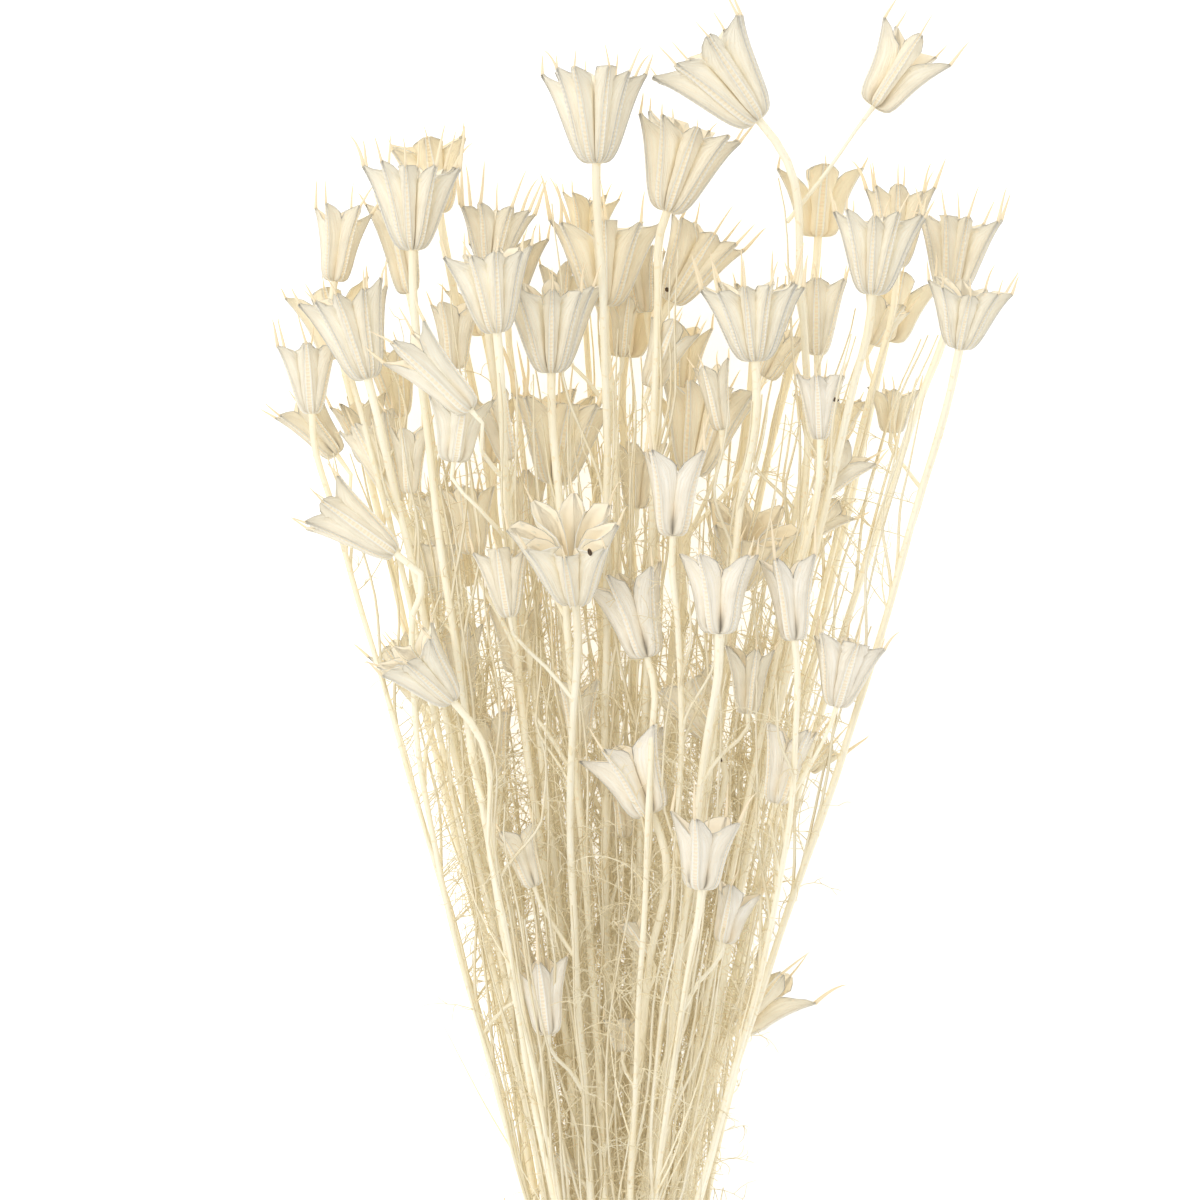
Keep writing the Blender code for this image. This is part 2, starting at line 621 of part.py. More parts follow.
def ring(mesh, middle, radius, sides, turn=math.pi / 4):
    """Vertices round a stem, on the plane across the bunch."""
    x, y, z = middle
    angles = [turn + 2 * math.pi * k / sides for k in range(sides)]
    return [mesh.verts.new((x + radius * math.cos(a), y, z + radius * math.sin(a))) for a in angles]


def band(mesh, lower, upper):
    """Faces between two rings with the same number of vertices."""
    count = len(lower)
    for k in range(count):
        mesh.faces.new((lower[k], lower[(k + 1) % count], upper[(k + 1) % count], upper[k]))


def zip_rings(mesh, lower, lower_turns, upper, upper_turns):
    """Faces between two rings with different numbers of vertices, by their turns round the axis."""
    i = j = 0
    while i < len(lower) or j < len(upper):
        next_lower = lower_turns[i] + (lower_turns[1] - lower_turns[0]) if i < len(lower) else 1e9
        next_upper = upper_turns[j] + (upper_turns[1] - upper_turns[0]) if j < len(upper) else 1e9
        a, b = lower[i % len(lower)], upper[j % len(upper)]
        if next_lower <= next_upper:
            mesh.faces.new((a, lower[(i + 1) % len(lower)], b))
            i += 1
        else:
            mesh.faces.new((a, upper[(j + 1) % len(upper)], b))
            j += 1


def add_pod(mesh, pod, start, tips, neck, sides):
    """Closes a stem's last ring with its seed pod: pockets round an axis, each with a flat keel and a horn."""
    wide, tall = pod.width / POD_WIDTH, pod.length / POD_LENGTH
    band_share = 0.5 + 0.5 * wide
    side_a, side_b = cross_axes(pod.axis)

    def place(reach, height, turn, offset=0.0):
        out = side_a * math.cos(turn) + side_b * math.sin(turn)
        across = side_b * math.cos(turn) - side_a * math.sin(turn)
        return mesh.verts.new(pod.base + pod.axis * height + out * reach + across * offset)

    step = 2 * math.pi / pod.pockets
    base_reach = BASE_RING[0] if wide > 0.55 else BASE_RING[0] * 0.75
    base = [place(base_reach, BASE_RING[1], start + step * (k - 0.5)) for k in range(pod.pockets)]
    join = [place(JOIN[0] * wide, JOIN[1] * tall, start + step * (k - 0.5)) for k in range(pod.pockets)]
    heart = place(0, HEART * tall, 0)
    for k in range(pod.pockets):
        turn = start + step * k
        left, right = k, (k + 1) % pod.pockets
        keel = [place(KEEL[0] * wide, KEEL[1] * tall, turn, s * KEEL_HALF_BAND * band_share) for s in (-1, 1)]
        tip = [place(TIP[0] * wide, TIP[1] * tall, turn, s * TIP_HALF_BAND) for s in (-1, 1)]
        inner = place(TIP_INNER[0] * wide, TIP_INNER[1] * tall, turn)
        edge = [place(TOP_EDGE[0] * wide, TOP_EDGE[1] * tall, turn, s * TOP_EDGE_HALF_BAND * band_share)
                for s in (-1, 1)]
        horn = mesh.verts.new(tips[k])
        mesh.faces.new((base[left], base[right], keel[1], keel[0]))
        mesh.faces.new((keel[0], keel[1], tip[1], tip[0]))
        for side, valley in ((1, right), (0, left)):
            mesh.faces.new((base[valley], keel[side], join[valley]))
            mesh.faces.new((keel[side], edge[side], join[valley]))
            mesh.faces.new((keel[side], tip[side], edge[side]))
            mesh.faces.new((tip[side], inner, edge[side]))
            mesh.faces.new((tip[side], horn, inner))
        mesh.faces.new((tip[0], tip[1], horn))
        mesh.faces.new((heart, join[left], join[right]))
        mesh.faces.new((join[left], join[right], edge[1], edge[0]))
        mesh.faces.new((edge[0], edge[1], inner))
    neck_turns = [math.pi / 4 + 2 * math.pi * k / sides for k in range(sides)]
    base_turns = [start + step * (k - 0.5) for k in range(pod.pockets)]
    shift = math.floor((base_turns[0] - neck_turns[0]) / (2 * math.pi / sides) + 0.5)
    order = [(k + shift) % sides for k in range(sides)]
    turned = [neck_turns[0] + 2 * math.pi * (k + shift) / sides for k in range(sides)]
    zip_rings(mesh, [neck[k] for k in order], turned, base, base_turns)


def stem_mesh(stem, pods, plans, sides):
    """One closed tube along a stem's knots, with its pod at the end, or plain as a leaf."""
    mesh = bmesh.new()
    rings = []
    slope = np.gradient(stem.across, stem.along, axis=0)
    stretch = np.minimum(np.sqrt(1 + (slope ** 2).sum(1)), 1.6)
    for k, y in enumerate(stem.along):
        x, z = stem.across[k]
        radius = stem.radius[k] * (stretch[k] if stem.carrier < 0 else 1.0)
        rings.append(ring(mesh, (x, y, z), radius, sides))
    for lower, upper in zip(rings, rings[1:]):
        band(mesh, lower, upper)
    mesh.faces.new(rings[0])
    if stem.pod >= 0:
        start, tips = plans[stem.pod]
        add_pod(mesh, pods[stem.pod], start, tips, rings[-1], sides)
    else:
        mesh.faces.new(rings[-1])
    bmesh.ops.triangulate(mesh, faces=mesh.faces)
    bmesh.ops.recalc_face_normals(mesh, faces=mesh.faces)
    return mesh


def new_object(name, mesh, material):
    """An object for a finished mesh in millimetres, scaled to metres."""
    mesh.transform(Matrix.Scale(MM, 4))
    data = bpy.data.meshes.new(name)
    mesh.to_mesh(data)
    mesh.free()
    data.materials.append(material)
    made = bpy.data.objects.new(name, data)
    bpy.context.scene.collection.objects.link(made)
    return made


def new_material(name, colour, roughness):
    """A plain finish."""
    material = bpy.data.materials.new(name)
    material.use_nodes = True
    shader = material.node_tree.nodes["Principled BSDF"]
    shader.inputs["Base Color"].default_value = colour
    shader.inputs["Roughness"].default_value = roughness
    shader.inputs["Metallic"].default_value = 0.0
    return material


def union(main, parts):
    """Joins parts into main as one body, by one Boolean union on their collection."""
    if not parts:
        return
    group = bpy.data.collections.new(main.name + "_parts")
    bpy.context.scene.collection.children.link(group)
    for part in parts:
        bpy.context.scene.collection.objects.unlink(part)
        group.objects.link(part)
    joined = main.modifiers.new("joined", "BOOLEAN")
    joined.operation = "UNION"
    joined.solver = "MANIFOLD"
    joined.operand_type = "COLLECTION"
    joined.collection = group
    bpy.context.view_layer.update()
    evaluated = main.evaluated_get(bpy.context.evaluated_depsgraph_get())
    data = bpy.data.meshes.new_from_object(evaluated)
    main.modifiers.clear()
    main.data = data
    for part in parts:
        bpy.data.objects.remove(part)
    bpy.data.collections.remove(group)


def make_tie(material):
    """The tie: a flat band round the stems, flat underneath where it lies on the surface."""
    mesh = bmesh.new()
    middle = TIE_THICKNESS + TIE_HALF_DEPTH
    rings = []
    for k in range(TIE_SEGMENTS):
        turn = 2 * math.pi * (k + 0.5) / TIE_SEGMENTS
        loop = []
        for thick, y in ((0, -0.5), (0, 0.5), (TIE_THICKNESS, 0.5), (TIE_THICKNESS, -0.5)):
            x = (TIE_HALF_WIDTH + thick) * math.cos(turn)
            z = middle + (TIE_HALF_DEPTH + thick) * math.sin(turn)
            loop.append(mesh.verts.new((x, y * TIE_BREADTH, z)))
        rings.append(loop)
    for k in range(TIE_SEGMENTS):
        band(mesh, rings[k], rings[(k + 1) % TIE_SEGMENTS])
    lowest = min(v.co.z for v in mesh.verts)
    for v in mesh.verts:
        if v.co.z < lowest + 0.05:
            v.co.z = 0.0
    bmesh.ops.recalc_face_normals(mesh, faces=mesh.faces)
    return new_object("tie", mesh, material)


def lay_out():
    """The settled pods, stems, horns and leaves."""
    rng = np.random.default_rng(SEED)
    pods = PODS + underside_pods(rng)
    stems = plan_stems(pods, rng)
    settling = settle(pods, stems)
    clearance = Clearance(settling)
    plans = plan_horns(pods, clearance, rng, len(stems))
    leaves = plan_leaves(stems, clearance, rng)
    print(f"{len(pods)} pods, {len(stems)} stems and branches, {len(leaves)} leaves")
    return pods, stems, plans, leaves


def main():
    for old in list(bpy.data.objects):
        bpy.data.objects.remove(old)
    straw = new_material("dry_stem", STRAW, 0.75)
    twine = new_material("twine", TWINE, 0.9)
    pods, stems, plans, leaves = lay_out()
    make_tie(twine)
    mains = [(i, s) for i, s in enumerate(stems) if s.carrier < 0]
    for number, (index, stem) in enumerate(mains, 1):
        body = new_object(f"stem_{number:02d}", stem_mesh(stem, pods, plans, MAIN_SIDES), straw)
        branches = [s for s in stems + leaves if s.carrier == index]
        parts = [new_object("branch", stem_mesh(s, pods, plans, THIN_SIDES), straw) for s in branches]
        union(body, parts)


main()
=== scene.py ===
"""Dresses the nigella bunch: bleached seed pods on ribbed stems, thread leaves, loose seeds and a twine tie.

The layout repeats the part's own rule, in millimetres, so each dressed stem lies where its solid does.
"""

import json
import logging
import math
from dataclasses import dataclass, field
from enum import Enum

import bpy
import numpy as np
from mathutils import Matrix, Vector

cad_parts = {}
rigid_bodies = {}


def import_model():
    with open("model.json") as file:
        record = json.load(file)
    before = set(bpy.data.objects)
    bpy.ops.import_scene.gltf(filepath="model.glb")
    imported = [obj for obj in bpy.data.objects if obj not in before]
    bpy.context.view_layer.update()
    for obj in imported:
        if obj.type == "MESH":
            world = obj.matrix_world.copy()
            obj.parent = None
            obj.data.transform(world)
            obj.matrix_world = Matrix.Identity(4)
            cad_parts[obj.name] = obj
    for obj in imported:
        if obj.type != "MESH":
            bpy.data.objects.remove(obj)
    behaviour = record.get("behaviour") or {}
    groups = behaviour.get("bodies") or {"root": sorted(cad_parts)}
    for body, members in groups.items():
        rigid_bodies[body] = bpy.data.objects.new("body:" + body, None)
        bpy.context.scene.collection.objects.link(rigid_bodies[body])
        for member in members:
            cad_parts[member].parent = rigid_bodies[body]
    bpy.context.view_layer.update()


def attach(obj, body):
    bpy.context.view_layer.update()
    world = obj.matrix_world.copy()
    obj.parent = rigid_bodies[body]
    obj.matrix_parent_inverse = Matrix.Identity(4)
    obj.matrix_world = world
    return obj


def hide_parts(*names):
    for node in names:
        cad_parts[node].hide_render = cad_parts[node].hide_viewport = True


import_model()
log = logging.getLogger("nigella_bunch")

MM = 0.001
SEED = 11

# The tie and the cut ends
TIE_HALF_WIDTH = 18.6
TIE_HALF_DEPTH = 10.8
TIE_THICKNESS = 1.8
TIE_BREADTH = 8.0
TIE_CLEARANCE = 0.5
CUT_END = -55.0
CUT_END_SPREAD = 2.5

# The fan of the stems above the tie
FAN_START = 35.0
FAN_BOW = 0.08
FAN_RISE = 0.4
TIE_REACH = 14.0
TIE_REACH_SCALE = 70.0
TIE_LAYERING = 0.12
LAYER_MIDDLE = 50.0
CUT_END_FLARE = 300.0

# Stems
MAIN_RADIUS = 1.3
NECK_RADIUS = 1.25
THICK_NECK_RADIUS = 1.5
THICK_NECK_POD_WIDTH = 24
SIDE_RADIUS = 0.8
LEAF_RADIUS = 0.42
NECK_LENGTH = 8.0
SIDE_NECK_SHARE = 0.6
NECK_ROOM = 14.0
BRANCH_ROOM = (16.0, 12.0)
STATIONS = (-6.0, 6.0, 50.0, 95.0, 135.0, 172.0, 208.0, 242.0, 276.0, 310.0, 342.0)

# How the layout is settled: discs on cross planes push each other apart
PLANE_STEP = 3.0
GAP = 0.45
STEPS = 420
FREE_STEPS = 120
SMOOTHING = 0.13
FLOOR_LIFT = 0.1
TOP_OF_BUNCH = 112.0
FOLLOWED = 5
PAIR_REACH = 4.0
PAIR_ROUNDS = 10
OUTLINE_REACH = 2.4
JOINT_CLEAR = 22.0
NO_JOINT = 1e3
UPPER_POD = 60.0
UPPER_POD_EASE = 0.12
LOWER_POD_EASE = 0.3
POD_RISE_EASE = 0.6
POD_YIELD = 0.12
SIDEWAYS_SHARE = 0.35
PUSH = 1.25
LEAST_COUNT = 0.6
CUT_END_LIMIT = 1.25
SLIGHT_WEIGHT = 0.05
THIN_LIFT = 0.2

# One pod of natural size, as distance from its axis and height along it, which each pod then scales
POD_LENGTH = 23.0
POD_WIDTH = 29.0
KEEL = (7.6, 7.0)
TIP = (14.5, 24.5)
OUTLINE_TIP = 14.7

# Horns: how far they spread and curl for their length, how they vary, and how short they may be cut
HORN_REFERENCE = 10.0
HORN_SPREAD = 2.2
HORN_CURL = 0.2
HORN_RADIUS = 0.4
HORN_VARIETY = (0.75, 1.1)
HORN_SHARES = (1.0, 0.75, 0.5, 0.3, 0.15)


@dataclass
class Pod:
    """A seed pod: where its base and the middle of its rim are across and along the bunch, and its height."""

    name: str
    base_xy: tuple
    rim_xy: tuple
    height: float
    width: float
    pockets: int
    horn: float
    tilt: float = 0.0
    carrier: str | None = None
    joint: float = 0.0

    def __post_init__(self) -> None:
        """Works out the pod's length, its axis and its base from its two given points."""
        across = self.rim_xy[0] - self.base_xy[0]
        along = self.rim_xy[1] - self.base_xy[1]
        flat = math.hypot(across, along)
        rise = flat * math.tan(math.radians(self.tilt))
        self.length = math.hypot(flat, rise)
        self.axis = np.array([across, along, rise]) / self.length
        self.base = np.array([*self.base_xy, self.height - rise / 2])


# Each pod's place on the bunch, its width, its pockets, the length of its horns, its tilt towards the top,
# and for a side pod the stem that carries it and where its branch leaves that stem.
PODS = [
    Pod("a1", (-62, 352), (-62, 374), 84, 28, 10, 12),
    Pod("a2", (-89, 344), (-86, 364), 68, 18, 5, 10),
    Pod("a3", (-65, 341), (-70, 366), 40, 16, 5, 7),
    Pod("a4", (-45, 327), (-47, 348), 84, 26, 9, 7, 5),
    Pod("a5", (-76, 314), (-82, 337), 68, 26, 9, 8),
    Pod("a6", (-39, 348), (-37, 364), 62, 24, 9, 13),
    Pod("a6b", (-34, 338), (-34, 356), 34, 22, 8, 7),
    Pod("a7", (-21, 316), (-21, 339), 86, 29, 10, 8, 5),
    Pod("a8", (-6, 337), (-6, 360), 58, 32, 8, 15),
    Pod("a9", (-18, 330), (-18, 349), 34, 15, 5, 6, 0, "a8", 305),
    Pod("a10", (-91, 304), (-92, 322), 66, 18, 6, 11),
    Pod("a11", (-84, 292), (-96, 306), 50, 16, 5, 7, 0, "a10", 262),
    Pod("a12", (-65, 304), (-68, 323), 36, 18, 6, 7),
    Pod("a13", (-67, 278), (-76, 299), 52, 18, 6, 7),
    Pod("a14", (-63, 280), (-63, 298), 62, 12, 4, 6, 0, "a12", 257),
    Pod("a15", (-44, 304), (-62, 323), 86, 18, 4, 9, 0, "a4", 284),
    Pod("a16", (-48, 289), (-46, 306), 84, 19, 4, 8, 0, "a4", 266),
    Pod("a17", (-34, 290), (-39, 308), 72, 14, 3, 6, 0, "a4", 257),
    Pod("a18", (-16, 283), (-14, 306), 52, 30, 8, 19),
    Pod("a19", (-36, 290), (-36, 308), 30, 15, 5, 6),
    Pod("b1", (41, 391), (25, 411), 70, 33, 8, 8),
    Pod("b2", (76, 396), (88, 414), 66, 24, 5, 8, 0, "b1", 361),
    Pod("b3", (-7, 378), (-7, 402), 74, 30, 10, 9),
    Pod("b4", (14, 365), (21, 388), 66, 32, 9, 8),
    Pod("b5", (15, 339), (26, 358), 36, 24, 7, 10),
    Pod("b6", (8, 336), (6, 353), 30, 15, 5, 6, 0, "b5", 308),
    Pod("b7", (40, 319), (39, 339), 84, 30, 11, 12, 5),
    Pod("b8", (43, 316), (50, 329), 40, 15, 5, 6, 0, "b17", 266),
    Pod("b9", (62, 322), (62, 342), 56, 18, 6, 7),
    Pod("b10", (75, 339), (77, 360), 78, 28, 10, 8),
    Pod("b11", (85, 349), (86, 370), 46, 21, 8, 11),
    Pod("b12", (100, 340), (102, 361), 62, 26, 9, 10),
    Pod("b13", (101, 323), (104, 339), 66, 25, 9, 8, 10),
    Pod("b14", (77, 326), (82, 338), 34, 14, 4, 6, 0, "b11", 308),
    Pod("b15", (5, 322), (6, 338), 56, 10, 3, 5, 0, "b3", 302),
    Pod("b16", (9, 312), (16, 329), 58, 14, 4, 6, 0, "b4", 290),
    Pod("b17", (34, 286), (39, 310), 52, 27, 8, 9),
    Pod("b17b", (31, 299), (28, 317), 58, 12, 4, 5, 0, "b17", 264),
    Pod("b19", (82, 299), (83, 311), 38, 15, 5, 6, 0, "b13", 281),
    Pod("c1", (-54.5, 248), (-55.5, 263), 57, 14, 6, 4, 0, "a1", 231),
    Pod("c2", (-67, 262), (-86, 276), 66, 20, 6, 8),
    Pod("c3", (-33, 243), (-35, 261), 84, 16, 6, 7, 0, "c4", 218),
    Pod("c4", (-15, 248), (-17, 268), 84, 33, 8, 8, 35),
    Pod("c5", (-50, 218), (-62, 232), 80, 22, 7, 7, 15),
    Pod("c6", (-45, 218), (-46, 239), 54, 15, 5, 6, 0, "c5", 188),
    Pod("c7", (-60, 217), (-70, 233), 44, 14, 4, 6, 0, "c2", 192),
    Pod("c8", (-55, 264), (-58, 280), 32, 15, 5, 6, 0, "a13", 245),
    Pod("d1", (17, 267), (18, 289), 84, 22, 4, 14),
    Pod("d2", (8, 231), (2, 254), 86, 22, 5, 8),
    Pod("d3", (29, 238), (29, 259), 84, 24, 5, 8),
    Pod("d4", (52, 236), (50, 258), 74, 17, 4, 13),
    Pod("d5", (64, 216), (68, 234), 68, 22, 6, 8, 0, "d4", 188),
    Pod("d6", (38, 214), (39, 232), 64, 15, 5, 6, 0, "d3", 194),
    Pod("d7", (58, 296), (58, 313), 76, 15, 6, 6),
    Pod("d9", (55, 280), (66, 292), 58, 15, 4, 7, 0, "d7", 260),
    Pod("d10", (56, 268), (65, 276), 50, 12, 4, 6, 0, "b9", 246),
    Pod("d11", (34, 252), (38, 270), 54, 28, 7, 8, 30),
    Pod("e1", (-26, 162), (-31, 178), 62, 14, 4, 6, 0, "c4", 140),
    Pod("f1", (11, 184), (3, 204), 76, 26, 5, 8),
    Pod("f2", (23, 162), (25, 181), 72, 22, 4, 13),
    Pod("f3", (28, 207), (20, 222), 60, 21, 6, 7),
    Pod("f4", (47, 187), (52, 207), 66, 16, 4, 7, 0, "d4", 158),
    Pod("f5", (31, 145), (35, 160), 62, 16, 3, 8, 0, "f2", 125),
    Pod("f6", (58, 196), (64, 203), 34, 10, 3, 10, 0, "b11", 166),
    Pod("g1", (-22, 117), (-24, 137), 52, 16, 4, 16, 0, "c4", 98),
    Pod("g2", (-28, 136), (-34, 147), 46, 10, 3, 5, 0, "c2", 116),
    Pod("g3", (35, 118), (48, 132), 34, 21, 4, 12, 0, "b10", 92),
    Pod("g4", (1, 111), (1, 120), 44, 11, 5, 4, 0, "f1", 95),
    Pod("g5", (9, 141), (4, 150), 60, 9, 3, 4, 0, "f1", 122),
    Pod("g6", (-14, 72), (-20, 78), 32, 9, 3, 4, 0, "c4", 58),
    Pod("h1", (-46, 262), (-47, 280), 44, 16, 4, 7, 0, "a4", 232),
    Pod("h2", (-27, 268), (-27, 286), 48, 15, 4, 6, 0, "a7", 242),
    Pod("h3", (2, 276), (3, 294), 50, 16, 5, 7, 0, "b3", 248),
    Pod("h4", (24, 312), (25, 330), 48, 16, 4, 6, 0, "b4", 282),
    Pod("h5", (-30, 226), (-31, 244), 48, 16, 4, 7, 0, "c4", 196),
    Pod("h6", (-36, 196), (-38, 213), 46, 15, 4, 6, 0, "c5", 168),
    Pod("h7", (-10, 204), (-11, 222), 50, 15, 4, 7, 0, "a8", 176),
    Pod("h8", (0, 176), (-2, 194), 44, 14, 4, 6, 0, "b3", 148),
    Pod("h9", (-74, 290), (-78, 307), 48, 17, 5, 7, 0, "a5", 271),
    Pod("h10", (-50, 318), (-50, 336), 50, 16, 4, 6, 0, "a1", 288),
]

# Stems that bow out or lean clear of the straight fan, as points across and along the bunch
BOWED_STEMS = {
    "a1": ((-54, 278), (-45, 218), (-35, 155)),
    "c2": ((-67, 218), (-60, 188), (-52, 155), (-45, 128), (-35, 102)),
    "c4": ((-18, 206), (-17, 160)),
    "d4": ((54, 200), (53, 165), (50, 140), (44, 118), (31, 92)),
    "b12": ((91, 308), (84, 284), (71, 248), (63, 218)),
    "b1": ((63, 362), (64, 342), (60, 300), (52, 250), (42, 190)),
}

# Pods on the underside: rows along the bunch, and how many stand in each across it
UNDERSIDE_ROWS = ((252, 46, 3), (290, 60, 4), (326, 78, 5), (362, 50, 3))
UNDERSIDE_LIFT = 0.1
UNDERSIDE_JITTER = 5.0
UNDERSIDE_LEAN = 0.06
UNDERSIDE_WIDTHS = (18, 22, 25)
UNDERSIDE_SLENDER = 0.78
UNDERSIDE_POCKETS = (4, 7)
UNDERSIDE_HORN = 5.0

# Thread leaves
LEAF_TRIES = 1400
LEAF_COUNT = 44
LEAF_LENGTH = (26.0, 44.0)
LEAF_REACH = (5.0, 13.0)
LEAF_BEND = 1.8
LEAF_KNOTS = 4
LEAF_TAPER = 0.75
LEAF_GAP = 0.5
LEAF_LOWEST = 30.0
LEAF_HIGHEST = 60.0
LEAF_BELOW_HEAD = 70.0
LEAF_END_ROOM = 12.0


@dataclass
class Stem:
    """A line of knots along the bunch: a cut stem, a side branch or a thread leaf."""

    pod: int
    along: np.ndarray
    across: np.ndarray
    radius: np.ndarray
    carrier: int = -1
    owner: int = -1


def underside_pods(rng: np.random.Generator) -> list[Pod]:
    """Places the pods that the bunch lies on: jittered rows, each pod with a keel on the surface.

    Args:
        rng: The layout's random draws.

    Returns:
        The underside pods.
    """
    found = []
    for row, (along, half, count) in enumerate(UNDERSIDE_ROWS):
        for k in range(count):
            across = -half + 2 * half * k / (count - 1) + rng.uniform(-1, 1) * UNDERSIDE_JITTER
            y = along + rng.uniform(-1, 1) * UNDERSIDE_JITTER
            lean = across * UNDERSIDE_LEAN + rng.uniform(-2, 2)
            width = float(rng.choice(UNDERSIDE_WIDTHS))
            height = UNDERSIDE_LIFT + OUTLINE_TIP / POD_WIDTH * width
            pockets = int(rng.integers(*UNDERSIDE_POCKETS))
            rim = (across + lean, y + width * UNDERSIDE_SLENDER)
            found.append(Pod(f"u{row}{k}", (across, y), rim, height, width, pockets, UNDERSIDE_HORN))
    return found


def fan_line(pod: Pod, y: np.ndarray, tie: tuple[float, float]) -> tuple[np.ndarray, np.ndarray]:
    """Gives a stem's first, unsettled line: a fan from just above the tie, bowed out a little.

    Args:
        pod: The pod that the stem ends in.
        y: Places along the bunch.
        tie: Where the stem passes the tie, across and up.

    Returns:
        The line's places across and up.
    """
    u = np.clip((y - FAN_START) / (pod.base[1] - FAN_START), 0.0, 1.0)
    bow = u + FAN_BOW * u * (1 - u)
    x = tie[0] + (pod.base[0] - tie[0]) * bow
    z = tie[1] + (pod.base[2] - tie[1]) * (u + FAN_RISE * u * (1 - u))
    below = y < 0
    x = np.where(below, tie[0] * (1 - y / CUT_END_FLARE), x)
    z = np.where(below, tie[1], z)
    if pod.name in BOWED_STEMS:
        between = sorted((b, a) for a, b in BOWED_STEMS[pod.name])
        ys, xs = np.array([(0.0, tie[0]), *between, (pod.base[1], pod.base[0])]).T
        x = np.where(below, x, np.interp(y, ys, xs))
    return x, z


def plan_stems(pods: list[Pod], rng: np.random.Generator) -> list[Stem]:
    """Makes the knots of every cut stem and side branch, before they are settled.

    Args:
        pods: All pods.
        rng: The layout's random draws.

    Returns:
        The cut stems, then the side branches.
    """
    stems, by_pod = [], {}
    for i, pod in enumerate(pods):
        if pod.carrier:
            continue
        tie_x = TIE_REACH * math.tanh(pod.base[0] / TIE_REACH_SCALE) + rng.uniform(-1, 1)
        layer = TIE_LAYERING * (pod.height - LAYER_MIDDLE)
        tie_z = TIE_THICKNESS + TIE_HALF_DEPTH + layer + rng.uniform(-1, 1)
        neck_y = pod.base[1] - NECK_LENGTH * pod.axis[1]
        along = [CUT_END + rng.uniform(-1, 1) * CUT_END_SPREAD]
        along += [s for s in STATIONS if s < neck_y - NECK_ROOM] + [neck_y, pod.base[1]]
        along = np.array(along)
        x, z = fan_line(pod, along, (tie_x, tie_z))
        neck = THICK_NECK_RADIUS if pod.width >= THICK_NECK_POD_WIDTH else NECK_RADIUS
        radius = np.full(len(along), MAIN_RADIUS)
        radius[-2:] = neck
        by_pod[pod.name] = len(stems)
        stems.append(Stem(i, along, np.column_stack([x, z]), radius))
    for i, pod in enumerate(pods):
        if not pod.carrier:
            continue
        carrier = by_pod[pod.carrier]
        line = stems[carrier]
        start = np.array([np.interp(pod.joint, line.along, line.across[:, a]) for a in (0, 1)])
        neck_y = pod.base[1] - SIDE_NECK_SHARE * NECK_LENGTH * pod.axis[1]
        between = [s for s in STATIONS if pod.joint + BRANCH_ROOM[0] < s < neck_y - BRANCH_ROOM[1]]
        if not between:
            between = [(pod.joint + neck_y) / 2]
        along = np.array([pod.joint, *between, neck_y, pod.base[1]])
        u = (along - pod.joint) / (pod.base[1] - pod.joint)
        x = start[0] + (pod.base[0] - start[0]) * u
        z = start[1] + (pod.base[2] - start[1]) * u
        radius = np.full(len(along), SIDE_RADIUS)
        stems.append(Stem(i, along, np.column_stack([x, z]), radius, carrier, carrier))
    for i, stem in enumerate(stems):
        stem.owner = stem.carrier if stem.carrier >= 0 else i
    return stems


def pod_outline(pod: Pod) -> np.ndarray:
    """Gives rings of points on the cone that encloses a pod, from its base.

    Args:
        pod: The pod.

    Returns:
        The points, one a row.
    """
    wide, tall = pod.width / POD_WIDTH, pod.length / POD_LENGTH
    heights = np.array([1.0, 4.0, KEEL[1], 11.0, 15.0, 20.0, TIP[1]]) * tall
    reach = np.array([2.0, 5.2, KEEL[0] + 0.3, 9.4, 11.2, 13.0, OUTLINE_TIP]) * wide
    side_a, side_b = cross_axes(pod.axis)
    turn = np.linspace(0, 2 * math.pi, 17)[:-1]
    rim = np.cos(turn)[:, None] * side_a + np.sin(turn)[:, None] * side_b
    return (heights[:, None, None] * pod.axis + reach[:, None, None] * rim[None]).reshape(-1, 3)


def cross_axes(axis: np.ndarray) -> tuple[np.ndarray, np.ndarray]:
    """Gives two directions across an axis that runs roughly along the bunch.

    Args:
        axis: The axis, of unit length.

    Returns:
        The direction to the right, then the upward one.
    """
    right = np.array([1.0, 0.0, 0.0]) - axis[0] * axis
    right /= np.linalg.norm(right)
    return right, np.cross(right, axis)


